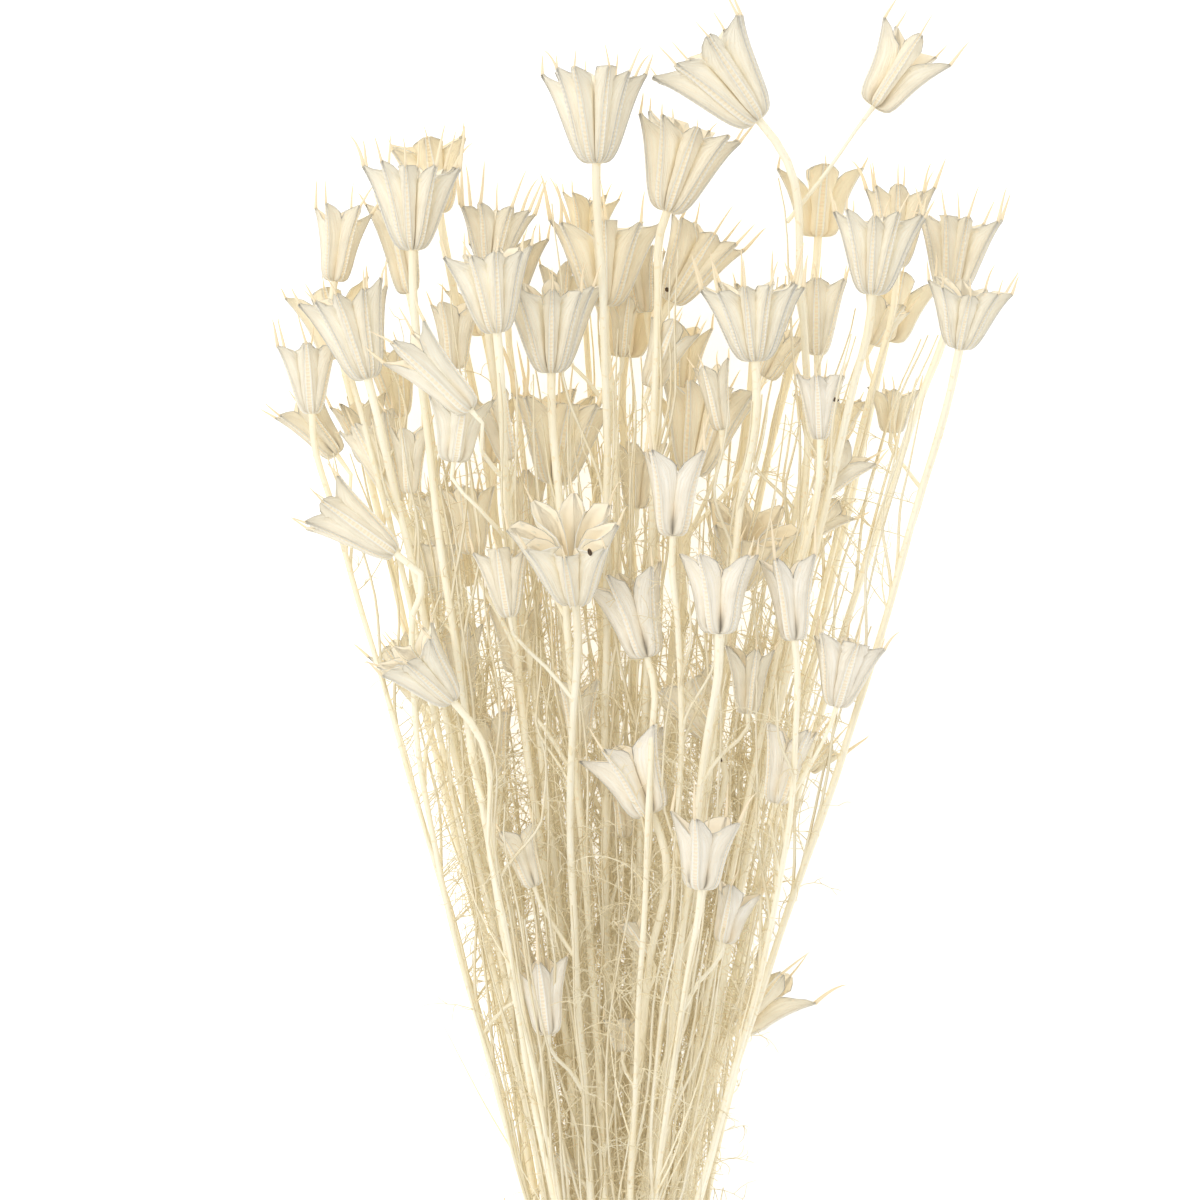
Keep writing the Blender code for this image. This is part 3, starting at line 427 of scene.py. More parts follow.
class Settling:
    """Stems and pods as discs on planes across the bunch, which push each other apart."""

    def __init__(self, pods: list[Pod], stems: list[Stem]) -> None:
        """Numbers the knots and pods and makes the discs.

        Args:
            pods: All pods.
            stems: The cut stems and branches.
        """
        self.pods, self.stems = pods, stems
        self.knot_start, total = [], 0
        for stem in stems:
            self.knot_start.append(total)
            total += len(stem.along)
        self.pod_start = total
        self.state = np.zeros((total + len(pods), 2))
        self.mobility = np.ones((total + len(pods), 2))
        for k, stem in zip(self.knot_start, stems):
            self.state[k:k + len(stem.along)] = stem.across
        for i, pod in enumerate(pods):
            self.state[total + i] = (pod.base[0], pod.base[2])
            sideways = UPPER_POD_EASE if pod.height > UPPER_POD else LOWER_POD_EASE
            self.mobility[total + i] = (sideways, POD_RISE_EASE)
        self.first = self.state.copy()
        self.make_discs()

    def follow(self, stem: Stem, start: int, y: float) -> tuple[dict[int, float], np.ndarray]:
        """Finds what a stem's point follows.

        Args:
            stem: The stem.
            start: The stem's first state row.
            y: The point's place along the bunch.

        Returns:
            The weight of each state row, and the point's fixed offset.
        """
        last = len(stem.along) - 1
        a = int(np.clip(np.searchsorted(stem.along, y, side="right") - 1, 0, last - 1))
        w = (y - stem.along[a]) / (stem.along[a + 1] - stem.along[a])
        rows, offset = {}, np.zeros(2)
        for knot, weight in ((a, 1 - w), (a + 1, w)):
            if knot >= last - 1:
                row = self.pod_start + stem.pod
                offset += weight * self.neck_offset(stem, knot - last)
                rows[row] = rows.get(row, 0) + weight
            elif knot == 0 and stem.carrier >= 0:
                base = self.knot_start[stem.carrier]
                under, shift = self.follow(self.stems[stem.carrier], base, stem.along[0])
                offset += weight * shift
                for row, part in under.items():
                    rows[row] = rows.get(row, 0) + weight * part
            else:
                rows[start + knot] = rows.get(start + knot, 0) + weight
        return rows, offset

    def neck_offset(self, stem: Stem, place: int) -> np.ndarray:
        """Tells how far a knot of the neck lies from the pod's base, across the bunch.

        Args:
            stem: The stem.
            place: 0 for the last knot, -1 for the one before it.

        Returns:
            The offset across and up.
        """
        if place == 0:
            return np.zeros(2)
        pod = self.pods[stem.pod]
        back = (stem.along[-1] - stem.along[-2]) / pod.axis[1]
        return -back * pod.axis[[0, 2]]

    def make_discs(self) -> None:
        """Makes every disc: its plane, what it follows, its size and the stem or pod it belongs to."""
        discs = []
        for i, (start, stem) in enumerate(zip(self.knot_start, self.stems)):
            first = math.ceil(stem.along[0] / PLANE_STEP)
            last = math.floor(stem.along[-1] / PLANE_STEP)
            for level in range(first, last + 1):
                y = level * PLANE_STEP
                found, shift = self.follow(stem, start, y)
                spare = FOLLOWED - len(found)
                rows = sorted(found) + [0] * spare
                weights = [found[row] for row in sorted(found)] + [0.0] * spare
                radius = float(np.interp(y, stem.along, stem.radius))
                past_joint = y - stem.along[0] if stem.carrier >= 0 else NO_JOINT
                discs.append((level, rows, weights, shift, radius, i, stem.pod, past_joint))
        for i, pod in enumerate(self.pods):
            points = pod_outline(pod)
            planes = np.round((points[:, 1] + pod.base[1]) / PLANE_STEP).astype(int)
            rows = [self.pod_start + i] + [0] * (FOLLOWED - 1)
            weights = [1.0] + [0.0] * (FOLLOWED - 1)
            for level in range(planes.min(), planes.max() + 1):
                aside = np.abs(points[:, 1] + pod.base[1] - level * PLANE_STEP)
                near = points[aside <= OUTLINE_REACH][:, [0, 2]]
                if len(near) < 3:
                    continue
                middle = (near.min(0) + near.max(0)) / 2
                radius = float(np.linalg.norm(near - middle, axis=1).max())
                discs.append((level, rows, weights, middle, radius, len(self.stems) + i, i, NO_JOINT))
        (self.plane, self.rows, self.weights, self.offset, self.radius, self.item, self.own,
         self.past_joint) = (np.array(column) for column in zip(*discs))
        self.is_pod = self.item >= len(self.stems)
        owner = [s.owner for s in self.stems] + [-1] * len(self.pods)
        self.owner = np.array(owner)[self.item]

    def places(self) -> np.ndarray:
        """Gives each disc's middle now."""
        return (self.state[self.rows] * self.weights[:, :, None]).sum(1) + self.offset

    def find_pairs(self, middle: np.ndarray, reach: float) -> np.ndarray:
        """Finds the discs on one plane that are near each other.

        Args:
            middle: Each disc's middle.
            reach: How far apart a pair may still be.

        Returns:
            The pairs, one a row.
        """
        found = []
        order = np.argsort(self.plane, kind="stable")
        edges = np.flatnonzero(np.diff(self.plane[order])) + 1
        for group in np.split(order, edges):
            a, b = np.triu_indices(len(group), 1)
            a, b = group[a], group[b]
            apart = np.linalg.norm(middle[a] - middle[b], axis=1)
            keep = apart < self.radius[a] + self.radius[b] + reach
            keep &= self.item[a] != self.item[b]
            mixed = self.is_pod[a] != self.is_pod[b]
            keep &= ~(mixed & (self.own[a] == self.own[b]))
            related = (self.owner[a] == self.owner[b]) & ~self.is_pod[a] & ~self.is_pod[b]
            near_joint = np.minimum(self.past_joint[a], self.past_joint[b]) < JOINT_CLEAR
            keep &= ~(related & near_joint)
            found.append(np.column_stack([a[keep], b[keep]]))
        return np.concatenate(found)

    def push(self, pairs: np.ndarray, middle: np.ndarray) -> None:
        """Pushes overlapping discs apart once.

        Args:
            pairs: The pairs to look at.
            middle: Each disc's middle.
        """
        a, b = pairs.T
        away = middle[a] - middle[b]
        apart = np.maximum(np.linalg.norm(away, axis=1), 1e-6)
        depth = self.radius[a] + self.radius[b] + GAP - apart
        hit = depth > 0
        a, b, away, apart, depth = a[hit], b[hit], away[hit], apart[hit], depth[hit]
        shove = away / apart[:, None] * depth[:, None]
        both = self.is_pod[a] & self.is_pod[b]
        reach = self.radius[a] + self.radius[b] + GAP
        lift = np.sqrt(np.maximum(reach ** 2 - away[:, 0] ** 2, 0)) - np.abs(away[:, 1])
        side = np.where(away[:, 1] >= 0, 1.0, -1.0)
        shove[both, 0] *= SIDEWAYS_SHARE
        shove[both, 1] = (side * np.minimum(lift, 2 * depth))[both]
        move = np.zeros_like(self.state)
        count = np.zeros(len(self.state))
        share = np.where(self.is_pod[a] == self.is_pod[b], 0.5,
                         np.where(self.is_pod[a], POD_YIELD, 1 - POD_YIELD))
        for disc, sign, part in ((a, 1, share), (b, -1, 1 - share)):
            for c in range(FOLLOWED):
                w = self.weights[disc, c]
                np.add.at(move, self.rows[disc, c], (sign * part * w)[:, None] * shove)
                np.add.at(count, self.rows[disc, c], w)
        self.state += move / np.maximum(count, LEAST_COUNT)[:, None] * self.mobility * PUSH

    def smooth(self) -> None:
        """Eases each stem's shifts along it, so that it stays a gentle line."""
        shift = self.state - self.first
        for start, stem in zip(self.knot_start, self.stems):
            free = range(1 if stem.carrier >= 0 else 0, len(stem.along) - 2)
            for k in free:
                here = start + k
                before = shift[max(here - 1, start)]
                inner = k + 1 < len(stem.along) - 2
                after = shift[here + 1] if inner else shift[self.pod_start + stem.pod]
                self.state[here] += SMOOTHING * ((before + after) / 2 - shift[here])

    def hold(self) -> None:
        """Keeps stems in the tie, and everything above the surface and under the top of the bunch."""
        room = np.array([TIE_HALF_WIDTH, TIE_HALF_DEPTH]) - TIE_CLEARANCE - MAIN_RADIUS
        core = np.array([0.0, TIE_THICKNESS + TIE_HALF_DEPTH])
        for start, stem in zip(self.knot_start, self.stems):
            if stem.carrier >= 0:
                continue
            for k, limit in enumerate((CUT_END_LIMIT, 1.0, 1.0), start):
                p = (self.state[k] - core) / (room * limit)
                size = np.linalg.norm(p)
                if size > 1:
                    self.state[k] = core + p / size * room * limit
        middle = self.places()
        low = self.radius + FLOOR_LIFT - middle[:, 1]
        high = middle[:, 1] + self.radius - TOP_OF_BUNCH
        for wrong, sign in ((low, 1.0), (high, -1.0)):
            bad = np.flatnonzero(wrong > 0)
            lift = np.zeros(len(self.state))
            for c in range(FOLLOWED):
                w = self.weights[bad, c]
                np.maximum.at(lift, self.rows[bad, c], np.where(w > SLIGHT_WEIGHT, wrong[bad], 0))
            self.state[:, 1] += sign * lift

    def run(self) -> None:
        """Settles everything, and writes the places back to the stems and pods."""
        for step in range(STEPS):
            middle = self.places()
            if step % PAIR_ROUNDS == 0:
                pairs = self.find_pairs(middle, PAIR_REACH)
            self.push(pairs, middle)
            if step < STEPS - FREE_STEPS:
                self.smooth()
            self.hold()
        for i, pod in enumerate(self.pods):
            pod.base[[0, 2]] = np.round(self.state[self.pod_start + i], 3)
        for start, stem in zip(self.knot_start, self.stems):
            for k, y in enumerate(stem.along):
                rows, offset = self.follow(stem, start, y)
                stem.across[k] = sum(self.state[r] * w for r, w in rows.items()) + offset


class Clearance:
    """Tells whether a thin horn or leaf is clear of every stem, pod, horn and leaf."""

    def __init__(self, settling: Settling) -> None:
        """Sorts the settled discs by their planes.

        Args:
            settling: The settled layout.
        """
        self.middle = settling.places()
        self.settling = settling
        self.by_plane = {}
        for i, level in enumerate(settling.plane):
            self.by_plane.setdefault(int(level), []).append(i)
        self.by_plane = {k: np.array(v) for k, v in self.by_plane.items()}
        self.thin = np.zeros((0, 4))

    def clear(self, points: np.ndarray, radius: float, skip: set[int]) -> bool:
        """Tells whether a line of points is clear.

        Args:
            points: The line's points.
            radius: The line's radius.
            skip: The items that may be touched.

        Returns:
            True if nothing is in the way.
        """
        for x, y, z in points:
            if z < radius + THIN_LIFT:
                return False
            for level in (math.floor(y / PLANE_STEP), math.ceil(y / PLANE_STEP)):
                near = self.by_plane.get(level)
                if near is None:
                    continue
                apart = np.linalg.norm(self.middle[near] - (x, z), axis=1)
                tight = apart < self.settling.radius[near] + radius + LEAF_GAP
                if any(int(i) not in skip for i in self.settling.item[near[tight]]):
                    return False
        if len(self.thin):
            apart = np.linalg.norm(self.thin[None, :, :3] - np.asarray(points)[:, None], axis=2)
            if (apart < self.thin[None, :, 3] + radius + LEAF_GAP).any():
                return False
        return True

    def add(self, points: np.ndarray, radius: float) -> None:
        """Keeps later thin pieces clear of this one.

        Args:
            points: The line's points.
            radius: The line's radius.
        """
        rows = np.column_stack([points, np.full(len(points), radius)])
        self.thin = np.concatenate([self.thin, rows])


def horn_tip(pod: Pod, turn: float, length: float, curl: float) -> tuple[np.ndarray, np.ndarray]:
    """Gives a horn's two ends.

    Args:
        pod: The pod.
        turn: The pocket's turn round the pod.
        length: The horn's length.
        curl: How far it bends sideways, -1 to 1.

    Returns:
        The root and the tip.
    """
    wide, tall = pod.width / POD_WIDTH, pod.length / POD_LENGTH
    side_a, side_b = cross_axes(pod.axis)
    out = side_a * math.cos(turn) + side_b * math.sin(turn)
    across = side_b * math.cos(turn) - side_a * math.sin(turn)
    root = pod.base + pod.axis * TIP[1] * tall + out * TIP[0] * wide
    spread = HORN_SPREAD * length / HORN_REFERENCE
    return root, root + pod.axis * length + out * spread + across * curl * length * HORN_CURL


def plan_horns(pods: list[Pod], clearance: Clearance, rng: np.random.Generator,
               stem_count: int) -> list[tuple[float, list[np.ndarray]]]:
    """Turns each pod and places its horns, cut short where something is in the way.

    Args:
        pods: All pods.
        clearance: What the horns stay clear of.
        rng: The layout's random draws.
        stem_count: How many stems and branches there are.

    Returns:
        Each pod's turn and the tips of its horns.
    """
    plans = []
    for i, pod in enumerate(pods):
        start = rng.uniform(0, 2 * math.pi) if pod.base[2] > pod.width else -math.pi / 2
        tips = []
        for k in range(pod.pockets):
            turn = start + 2 * math.pi * k / pod.pockets
            curl = rng.uniform(-1, 1)
            full = pod.horn * rng.uniform(*HORN_VARIETY)
            for share in HORN_SHARES:
                root, tip = horn_tip(pod, turn, full * share, curl)
                points = root + (tip - root) * np.linspace(0.15, 1, 8)[:, None]
                if clearance.clear(points, HORN_RADIUS, {stem_count + i}):
                    break
            tip[2] = max(tip[2], 0.0)
            clearance.add(points[1:], HORN_RADIUS)
            tips.append(tip)
        plans.append((start, tips))
    return plans


def plan_leaves(stems: list[Stem], clearance: Clearance, rng: np.random.Generator) -> list[Stem]:
    """Places the larger thread leaves: bent spikes that leave a stem and stay clear of everything else.

    Args:
        stems: The settled stems and branches.
        clearance: What the leaves stay clear of.
        rng: The layout's random draws.

    Returns:
        The leaves.
    """
    leaves = []
    mains = [i for i, s in enumerate(stems) if s.carrier < 0]
    for _ in range(LEAF_TRIES):
        if len(leaves) == LEAF_COUNT:
            break
        owner = int(rng.choice(mains))
        stem = stems[owner]
        start = rng.uniform(LEAF_LOWEST, max(LEAF_HIGHEST, stem.along[-1] - LEAF_BELOW_HEAD))
        length, reach = rng.uniform(*LEAF_LENGTH), rng.uniform(*LEAF_REACH)
        heading = rng.uniform(0, 2 * math.pi)
        bend = rng.uniform(-1, 1) * LEAF_BEND
        if start + length > stem.along[-1] - LEAF_END_ROOM:
            continue
        u = np.linspace(0, 1, LEAF_KNOTS)
        y = start + length * u
        turn = heading + bend * u
        centre = np.column_stack([np.interp(y, stem.along, stem.across[:, a]) for a in (0, 1)])
        line = centre + (reach * u ** 0.8)[:, None] * np.column_stack([np.cos(turn), np.sin(turn)])
        line[0] = centre[0]
        fine = np.linspace(0, 1, 15)
        points = np.column_stack([np.interp(fine, u, c) for c in (line[:, 0], y, line[:, 1])])
        if not clearance.clear(points[:3], LEAF_RADIUS, {owner}):
            continue
        if not clearance.clear(points[3:], LEAF_RADIUS, set()):
            continue
        clearance.add(points[2:], LEAF_RADIUS)
        radius = np.linspace(1.0, LEAF_TAPER, LEAF_KNOTS) * LEAF_RADIUS
        leaves.append(Stem(-1, y, line, radius, owner, owner))
    return leaves


# Stalks as they are seen, in millimetres
STALK_ROW = 6.0
STALK_RIBS = 5
STALK_RIB_DEPTH = 0.17
STALK_FOOT = 1.3
STALK_WAIST = 1.2
THIN_STALK_WAIST = 0.92
BRANCH_THICKNESS = 0.62
BRANCH_TAPER = (1.25, 1.0, 1.4)
STALK_SWAY = 0.35
STALK_WAVES = ((9, 23), (11, 27))
EASING = 0.5
EASING_ROUNDS = 3
LEAF_THICKNESS = 0.34

# One pocket of natural size, in millimetres: its keel and its lips as distance from the axis and height
BELL_KEEL = ((1.0, 0.0), (3.0, 0.2), (4.8, 1.7), (6.5, 4.9), (7.9, 8.8), (9.4, 13.2), (11.1, 18.0),
             (12.9, 22.2), (14.8, 25.6))
BELL_LIP = ((0.4, 0.3), (0.5, 1.6), (0.6, 3.7), (0.9, 7.0), (1.4, 11.5), (2.8, 18.2), (5.6, 22.3),
            (10.4, 24.0), (14.5, 25.8))
LOBED_KEEL = ((1.0, 0.0), (3.8, 0.1), (6.1, 1.3), (7.6, 4.6), (8.5, 8.8), (9.7, 13.3), (11.5, 18.0),
              (13.6, 22.2), (15.4, 25.4))
LOBED_LIP = ((0.4, 0.3), (0.5, 1.6), (0.6, 3.8), (0.7, 7.0), (1.2, 11.0), (2.8, 16.0), (5.8, 20.2),
             (10.4, 23.0), (15.0, 25.5))
BELL_POCKETS = 6
POCKET_ROWS = 13
FACE_STEPS = (0.0, 0.1, 0.26, 0.45, 0.62, 0.78, 0.91)
SECTOR_SHARE = 0.95
KEEL_HALF = 1.05
RIM_RISE = 0.5
RIB_WIDTH = 0.55
GROOVE = 0.2
# Painted shade along the face line beside the keel ribs, added to the valley mark
CREASE_SHADE = 0.35
LIP_DIP = 1.3
USUAL_GAPE = 0.9
FREE_LIP = (0.5, 0.78)
LIP_END = (0.9, 1.0)
LIP_RIPPLE = 0.55
RIPPLE_PITCH = 26
WALL = 0.28
INNER_DEPTH = 0.9
HOLLOW_FACES = 0.22
LEAST_ROOM = 0.12
LEAST_HALF = 0.04
POCKET_VARIETY = ((0.3, 1.6), (-1.2, 1.2), (0.06, 0.24), (0, 6))
HORN_ROOT = 0.05
HORN_POINT = 0.006
HORN_TAPER = 0.6
HORN_BENDS = ((-0.22, 0.22), (-0.1, 0.1))

# Pods kept pale at any height, free of the painted shade by height, and pods with grey slots
PEARLY_PODS = ("d1", "d2", "d3", "d4", "d5", "d7", "f1", "f2", "f4", "f5", "g1")
GREY_SLOTS = ("a1", "a7", "b3", "b4", "b7", "d1", "d2", "d3", "d4", "f1", "f2", "a11", "c2", "e1", "g1",
              "a18")
# Heights in millimetres below which pods take the next darker tone: painted shade deeper in the bunch
SHADED_TONE_HEIGHTS = (72, 50, 30)

# Thread leaves and withered side shoots, in millimetres
FROND_COUNT = 2300
FROND_MIDDLE = 165.0
FROND_LENGTH = (12.0, 34.0)
FROND_SPREAD = (0.12, 0.5)
FROND_THICKNESS = 0.24
FROND_TAPER = 0.5
FROND_CURL = 0.12
FROND_END_ROOM = 25.0
FROND_TURN_IN = (0.018, 0.008)
SIDE_THREADS = (4, 9)
SIDE_LENGTH = (3.0, 9.0)
SIDE_THICKNESS = 0.17
SIDE_TAPER = 0.6
SIDE_CURL = 0.42
THREAD_STEP = 2.9
MIDDLE_HEIGHT = 50.0
SHOOT_COUNT = 520
SHOOT_LENGTH = (60.0, 150.0)
SHOOT_THICKNESS = 0.72
SHOOT_TAPER = 0.6
SHOOT_START = 20.0
SHOOT_END_ROOM = 12.0
SHORTEST_SHOOT = 30.0
SHOOT_TOP = 285.0
OUTER_STEM = 28.0
SHOOT_REACH = (2.5, 17.0)

# Camera and light, in metres
RESTING_HEIGHT = 0.0002
VIEW_MIDDLE = (-0.006, 0.248)
VIEW_WIDTH = 0.36
VIEW_HEIGHT = 0.065
CAMERA_RISE = 1.8
SENSOR = 36.0


class Tone(Enum):
    """Main colours of pods, stalks, threads and twine; the pods' steps from ivory to ochre by height, and the
    thread tone of low stalks, are painted shade.
    """

    IVORY = (0.975, 0.945, 0.83)
    PEARL = (0.965, 0.94, 0.87)
    CREAM = (0.97, 0.925, 0.79)
    SAND = (0.97, 0.905, 0.73)
    OCHRE = (0.96, 0.86, 0.62)
    STALK = (0.97, 0.93, 0.78)
    THREAD = (0.97, 0.89, 0.68)
    TWINE = (0.62, 0.47, 0.28)


class PodForm(Enum):
    """The two ways that pods grow: a pleated bell of many pockets, or a few deep lobes."""

    BELL = (BELL_KEEL, BELL_LIP, 6, 1.15, 9.0)
    LOBED = (LOBED_KEEL, LOBED_LIP, 4, 0.62, 2.9)

    def __init__(self, keel: tuple, lip: tuple, pockets: int, flare: float, cap: float) -> None:
        """Keeps the form's measures.

        Args:
            keel: The keel's line.
            lip: The lips' line.
            pockets: Its usual number of pockets.
            flare: How fast its faces spread below the keel.
            cap: The widest that half a pocket gets.
        """
        self.keel, self.lip = np.array(keel), np.array(lip)
        self.sector = math.tan(math.pi / pockets)
        self.flare, self.cap = flare, cap

    @classmethod
    def of(cls, pod: Pod) -> "PodForm":
        """Chooses a pod's form by its number of pockets."""
        return cls.BELL if pod.pockets >= BELL_POCKETS else cls.LOBED


def ease_through(along: np.ndarray, values: np.ndarray, at: np.ndarray) -> np.ndarray:
    """Runs a smooth curve through knots.

    Args:
        along: The knots' places.
        values: The knots' values, one row each.
        at: Where the curve is wanted.

    Returns:
        The curve's values there.
    """
    slope = np.gradient(values, along, axis=0)
    first = np.clip(np.searchsorted(along, at, side="right") - 1, 0, len(along) - 2)
    span = (along[first + 1] - along[first])[:, None]
    t = (at - along[first])[:, None] / span
    start, end = values[first], values[first + 1]
    leave, reach = slope[first] * span, slope[first + 1] * span
    return ((2 * t ** 3 - 3 * t ** 2 + 1) * start + (t ** 3 - 2 * t ** 2 + t) * leave
            + (3 * t ** 2 - 2 * t ** 3) * end + (t ** 3 - t ** 2) * reach)


def points_along(across: np.ndarray, along: np.ndarray) -> np.ndarray:
    """Joins places across the bunch to places along it."""
    return np.column_stack([across[:, 0], along, across[:, 1]])


def ramp(low: float, high: float, value: np.ndarray) -> np.ndarray:
    """Rises smoothly from 0 at low to 1 at high.

    Args:
        low: Where the rise starts.
        high: Where it ends.
        value: The place or places on it.

    Returns:
        The height of the rise there.
    """
    t = np.clip((np.asarray(value, float) - low) / (high - low), 0, 1)
    return t * t * (3 - 2 * t)


class NodeSheet:
    """A node tree that is being filled in."""

    def __init__(self, tree: bpy.types.NodeTree) -> None:
        """Empties the tree and keeps it.

        Args:
            tree: The tree.
        """
        self.tree = tree
        tree.nodes.clear()

    def add(self, kind: str, inputs: dict | None = None, **settings: object) -> bpy.types.Node:
        """Adds a node.

        Args:
            kind: The node's type.
            inputs: A value or another node's output for each input, by name or number.
            settings: The node's own settings.

        Returns:
            The node.
        """
        node = self.tree.nodes.new(kind)
        for name, value in settings.items():
            setattr(node, name, value)
        for key, value in (inputs or {}).items():
            if isinstance(value, bpy.types.NodeSocket):
                self.tree.links.new(value, node.inputs[key])
            else:
                node.inputs[key].default_value = value
        return node

    def math(self, operation: str, *values: object) -> bpy.types.NodeSocket:
        """Adds a Math node and gives its output."""
        return self.add("ShaderNodeMath", dict(enumerate(values)), operation=operation).outputs[0]

    def attribute(self, name: str, output: str = "Color") -> bpy.types.NodeSocket:
        """Reads an attribute of the mesh."""
        return self.add("ShaderNodeAttribute", attribute_name=name).outputs[output]

    def place(self) -> bpy.types.NodeSocket:
        """Gives the place on the object."""
        return self.add("ShaderNodeTexCoord").outputs["Object"]

    def blend(self, share: object, first: object, second: object) -> bpy.types.NodeSocket:
        """Mixes two colours.

        Args:
            share: How much of the second colour, 0 to 1.
            first: The first colour.
            second: The second colour.

        Returns:
            The mixed colour.
        """
        mixed = self.add("ShaderNodeMix", {0: share, 6: first, 7: second}, data_type="RGBA")
        return mixed.outputs[2]

    def cover(self, mask: object, amount: float, first: object, second: object) -> bpy.types.NodeSocket:
        """Covers a colour with a second one where a mask is set.

        Args:
            mask: The mask, 0 to 1.
            amount: How much of the second colour there is where the mask is 1.
            first: The first colour.
            second: The second colour.

        Returns:
            The mixed colour.
        """
        return self.blend(self.math("MULTIPLY", mask, amount), first, second)


class GrowthTree:
    """A Geometry Nodes tree with named inputs, which grows a plain mesh from a skeleton."""

    def __init__(self, name: str, sockets: dict[str, str]) -> None:
        """Makes the tree and its inputs.

        Args:
            name: The tree's name.
            sockets: The type of each named input.
        """
        self.group = bpy.data.node_groups.new(name, "GeometryNodeTree")
        self.sheet = NodeSheet(self.group)
        face = self.group.interface
        face.new_socket("Geometry", in_out="INPUT", socket_type="NodeSocketGeometry")
        self.identifiers = {label: face.new_socket(label, in_out="INPUT", socket_type=kind).identifier
                            for label, kind in sockets.items()}
        face.new_socket("Geometry", in_out="OUTPUT", socket_type="NodeSocketGeometry")
        self.source = self.sheet.add("NodeGroupInput").outputs

    def named(self, name: str, kind: str = "FLOAT") -> bpy.types.NodeSocket:
        """Reads an attribute of the skeleton by its name."""
        read = self.sheet.add("GeometryNodeInputNamedAttribute", {"Name": name}, data_type=kind)
        return read.outputs["Attribute"]

    def tube(self, lines: bpy.types.NodeSocket, profile: bpy.types.NodeSocket) -> bpy.types.NodeSocket:
        """Runs a profile along lines, as thick as their points say.

        Args:
            lines: The lines.
            profile: The profile, of radius one.

        Returns:
            The smooth tubes.
        """
        tubes = self.sheet.add("GeometryNodeCurveToMesh", {
            "Curve": lines, "Profile Curve": profile, "Scale": self.named("thickness"), "Fill Caps": True})
        return self.sheet.add("GeometryNodeSetShadeSmooth", {"Geometry": tubes.outputs[0]}).outputs[0]

    def end(self, geometry: bpy.types.NodeSocket, material: bpy.types.NodeSocket) -> None:
        """Ends the tree in Realize Instances and Set Material.

        Args:
            geometry: What has grown.
            material: The material input.
        """
        real = self.sheet.add("GeometryNodeRealizeInstances", {"Geometry": geometry}).outputs[0]
        dressed = self.sheet.add("GeometryNodeSetMaterial", {"Geometry": real, "Material": material})
        self.sheet.add("NodeGroupOutput", {0: dressed.outputs[0]})

    def grow(self, name: str, skeleton: bpy.types.Mesh, values: dict[str, object]) -> bpy.types.Object:
        """Grows one piece and turns it into a plain mesh.

        Args:
            name: The piece's name.
            skeleton: The mesh that the tree starts from.
            values: What each named input is set to.

        Returns:
            The finished object.
        """
        made = bpy.data.objects.new(name, skeleton)
        bpy.context.scene.collection.objects.link(made)
        modifier = made.modifiers.new("growth", "NODES")
        modifier.node_group = self.group
        for label, value in values.items():
            modifier[self.identifiers[label]] = value
        bpy.context.view_layer.update()
        evaluated = made.evaluated_get(bpy.context.evaluated_depsgraph_get())
        data = bpy.data.meshes.new_from_object(evaluated, preserve_all_data_layers=True,
                                               depsgraph=bpy.context.evaluated_depsgraph_get())
        made.modifiers.clear()
        made.data = data
        data.name = name
        bpy.data.meshes.remove(skeleton)
        return made


# What each point of a skeleton carries: its type, the key it is set by, and its usual value
POINT_VALUES = {
    "thickness": ("FLOAT", "value", 0.0),
    "shape": ("INT", "value", -1),
    "turn": ("FLOAT_VECTOR", "vector", (0, 0, 0)),
    "size": ("FLOAT_VECTOR", "vector", (1, 1, 1)),
    "tone": ("FLOAT_COLOR", "color", (*Tone.STALK.value, 1)),
    "slots": ("FLOAT", "value", 0.0),
}


class Skeleton:
    """Lines and marked points, in millimetres, which a growth tree turns into a piece."""

    def __init__(self) -> None:
        """Starts empty."""
        self.places: list[np.ndarray] = []
        self.edges: list[np.ndarray] = []
        self.values: dict[str, list[np.ndarray]] = {name: [] for name in POINT_VALUES}
        self.count = 0

    def add(self, places: np.ndarray, **values: np.ndarray) -> None:
        """Adds points with their values, by default those of a plain line point.

        Args:
            places: The points.
            values: The value or values of each named attribute.
        """
        rows = len(places)
        for name, (_, _, usual) in POINT_VALUES.items():
            value = np.asarray(values.get(name, usual), float)
            self.values[name].append(np.broadcast_to(value, (rows, *np.shape(usual))).copy())
        self.places.append(np.asarray(places, float))
        self.count += rows

    def line(self, places: np.ndarray, thickness: np.ndarray, tone: tuple[float, ...]) -> None:
        """Adds a line that becomes a tube.

        Args:
            places: Its points.
            thickness: Its radius at each point.
            tone: Its colour.
        """
        start = self.count
        self.add(places, thickness=np.asarray(thickness) * MM, tone=(*tone, 1))
        numbers = np.arange(start, self.count)
        self.edges.append(np.column_stack([numbers[:-1], numbers[1:]]))

    def mesh(self, name: str) -> bpy.types.Mesh:
        """Makes the skeleton's mesh, in metres.

        Args:
            name: Its name.

        Returns:
            The mesh, with its attributes.
        """
        data = bpy.data.meshes.new(name + "_skeleton")
        edges = np.concatenate(self.edges) if self.edges else np.zeros((0, 2), int)
        places = np.concatenate(self.places) * MM
        data.vertices.add(len(places))
        data.vertices.foreach_set("co", places.astype(np.float32).ravel())
        data.edges.add(len(edges))
        data.edges.foreach_set("vertices", edges.astype(np.int32).ravel())
        for label, (kind, key, _) in POINT_VALUES.items():
            kept = np.concatenate(self.values[label])
            column = data.attributes.new(label, kind, "POINT")
            column.data.foreach_set(key, kept.astype(np.int32 if kind == "INT" else np.float32).ravel())
        data.update()
        return data


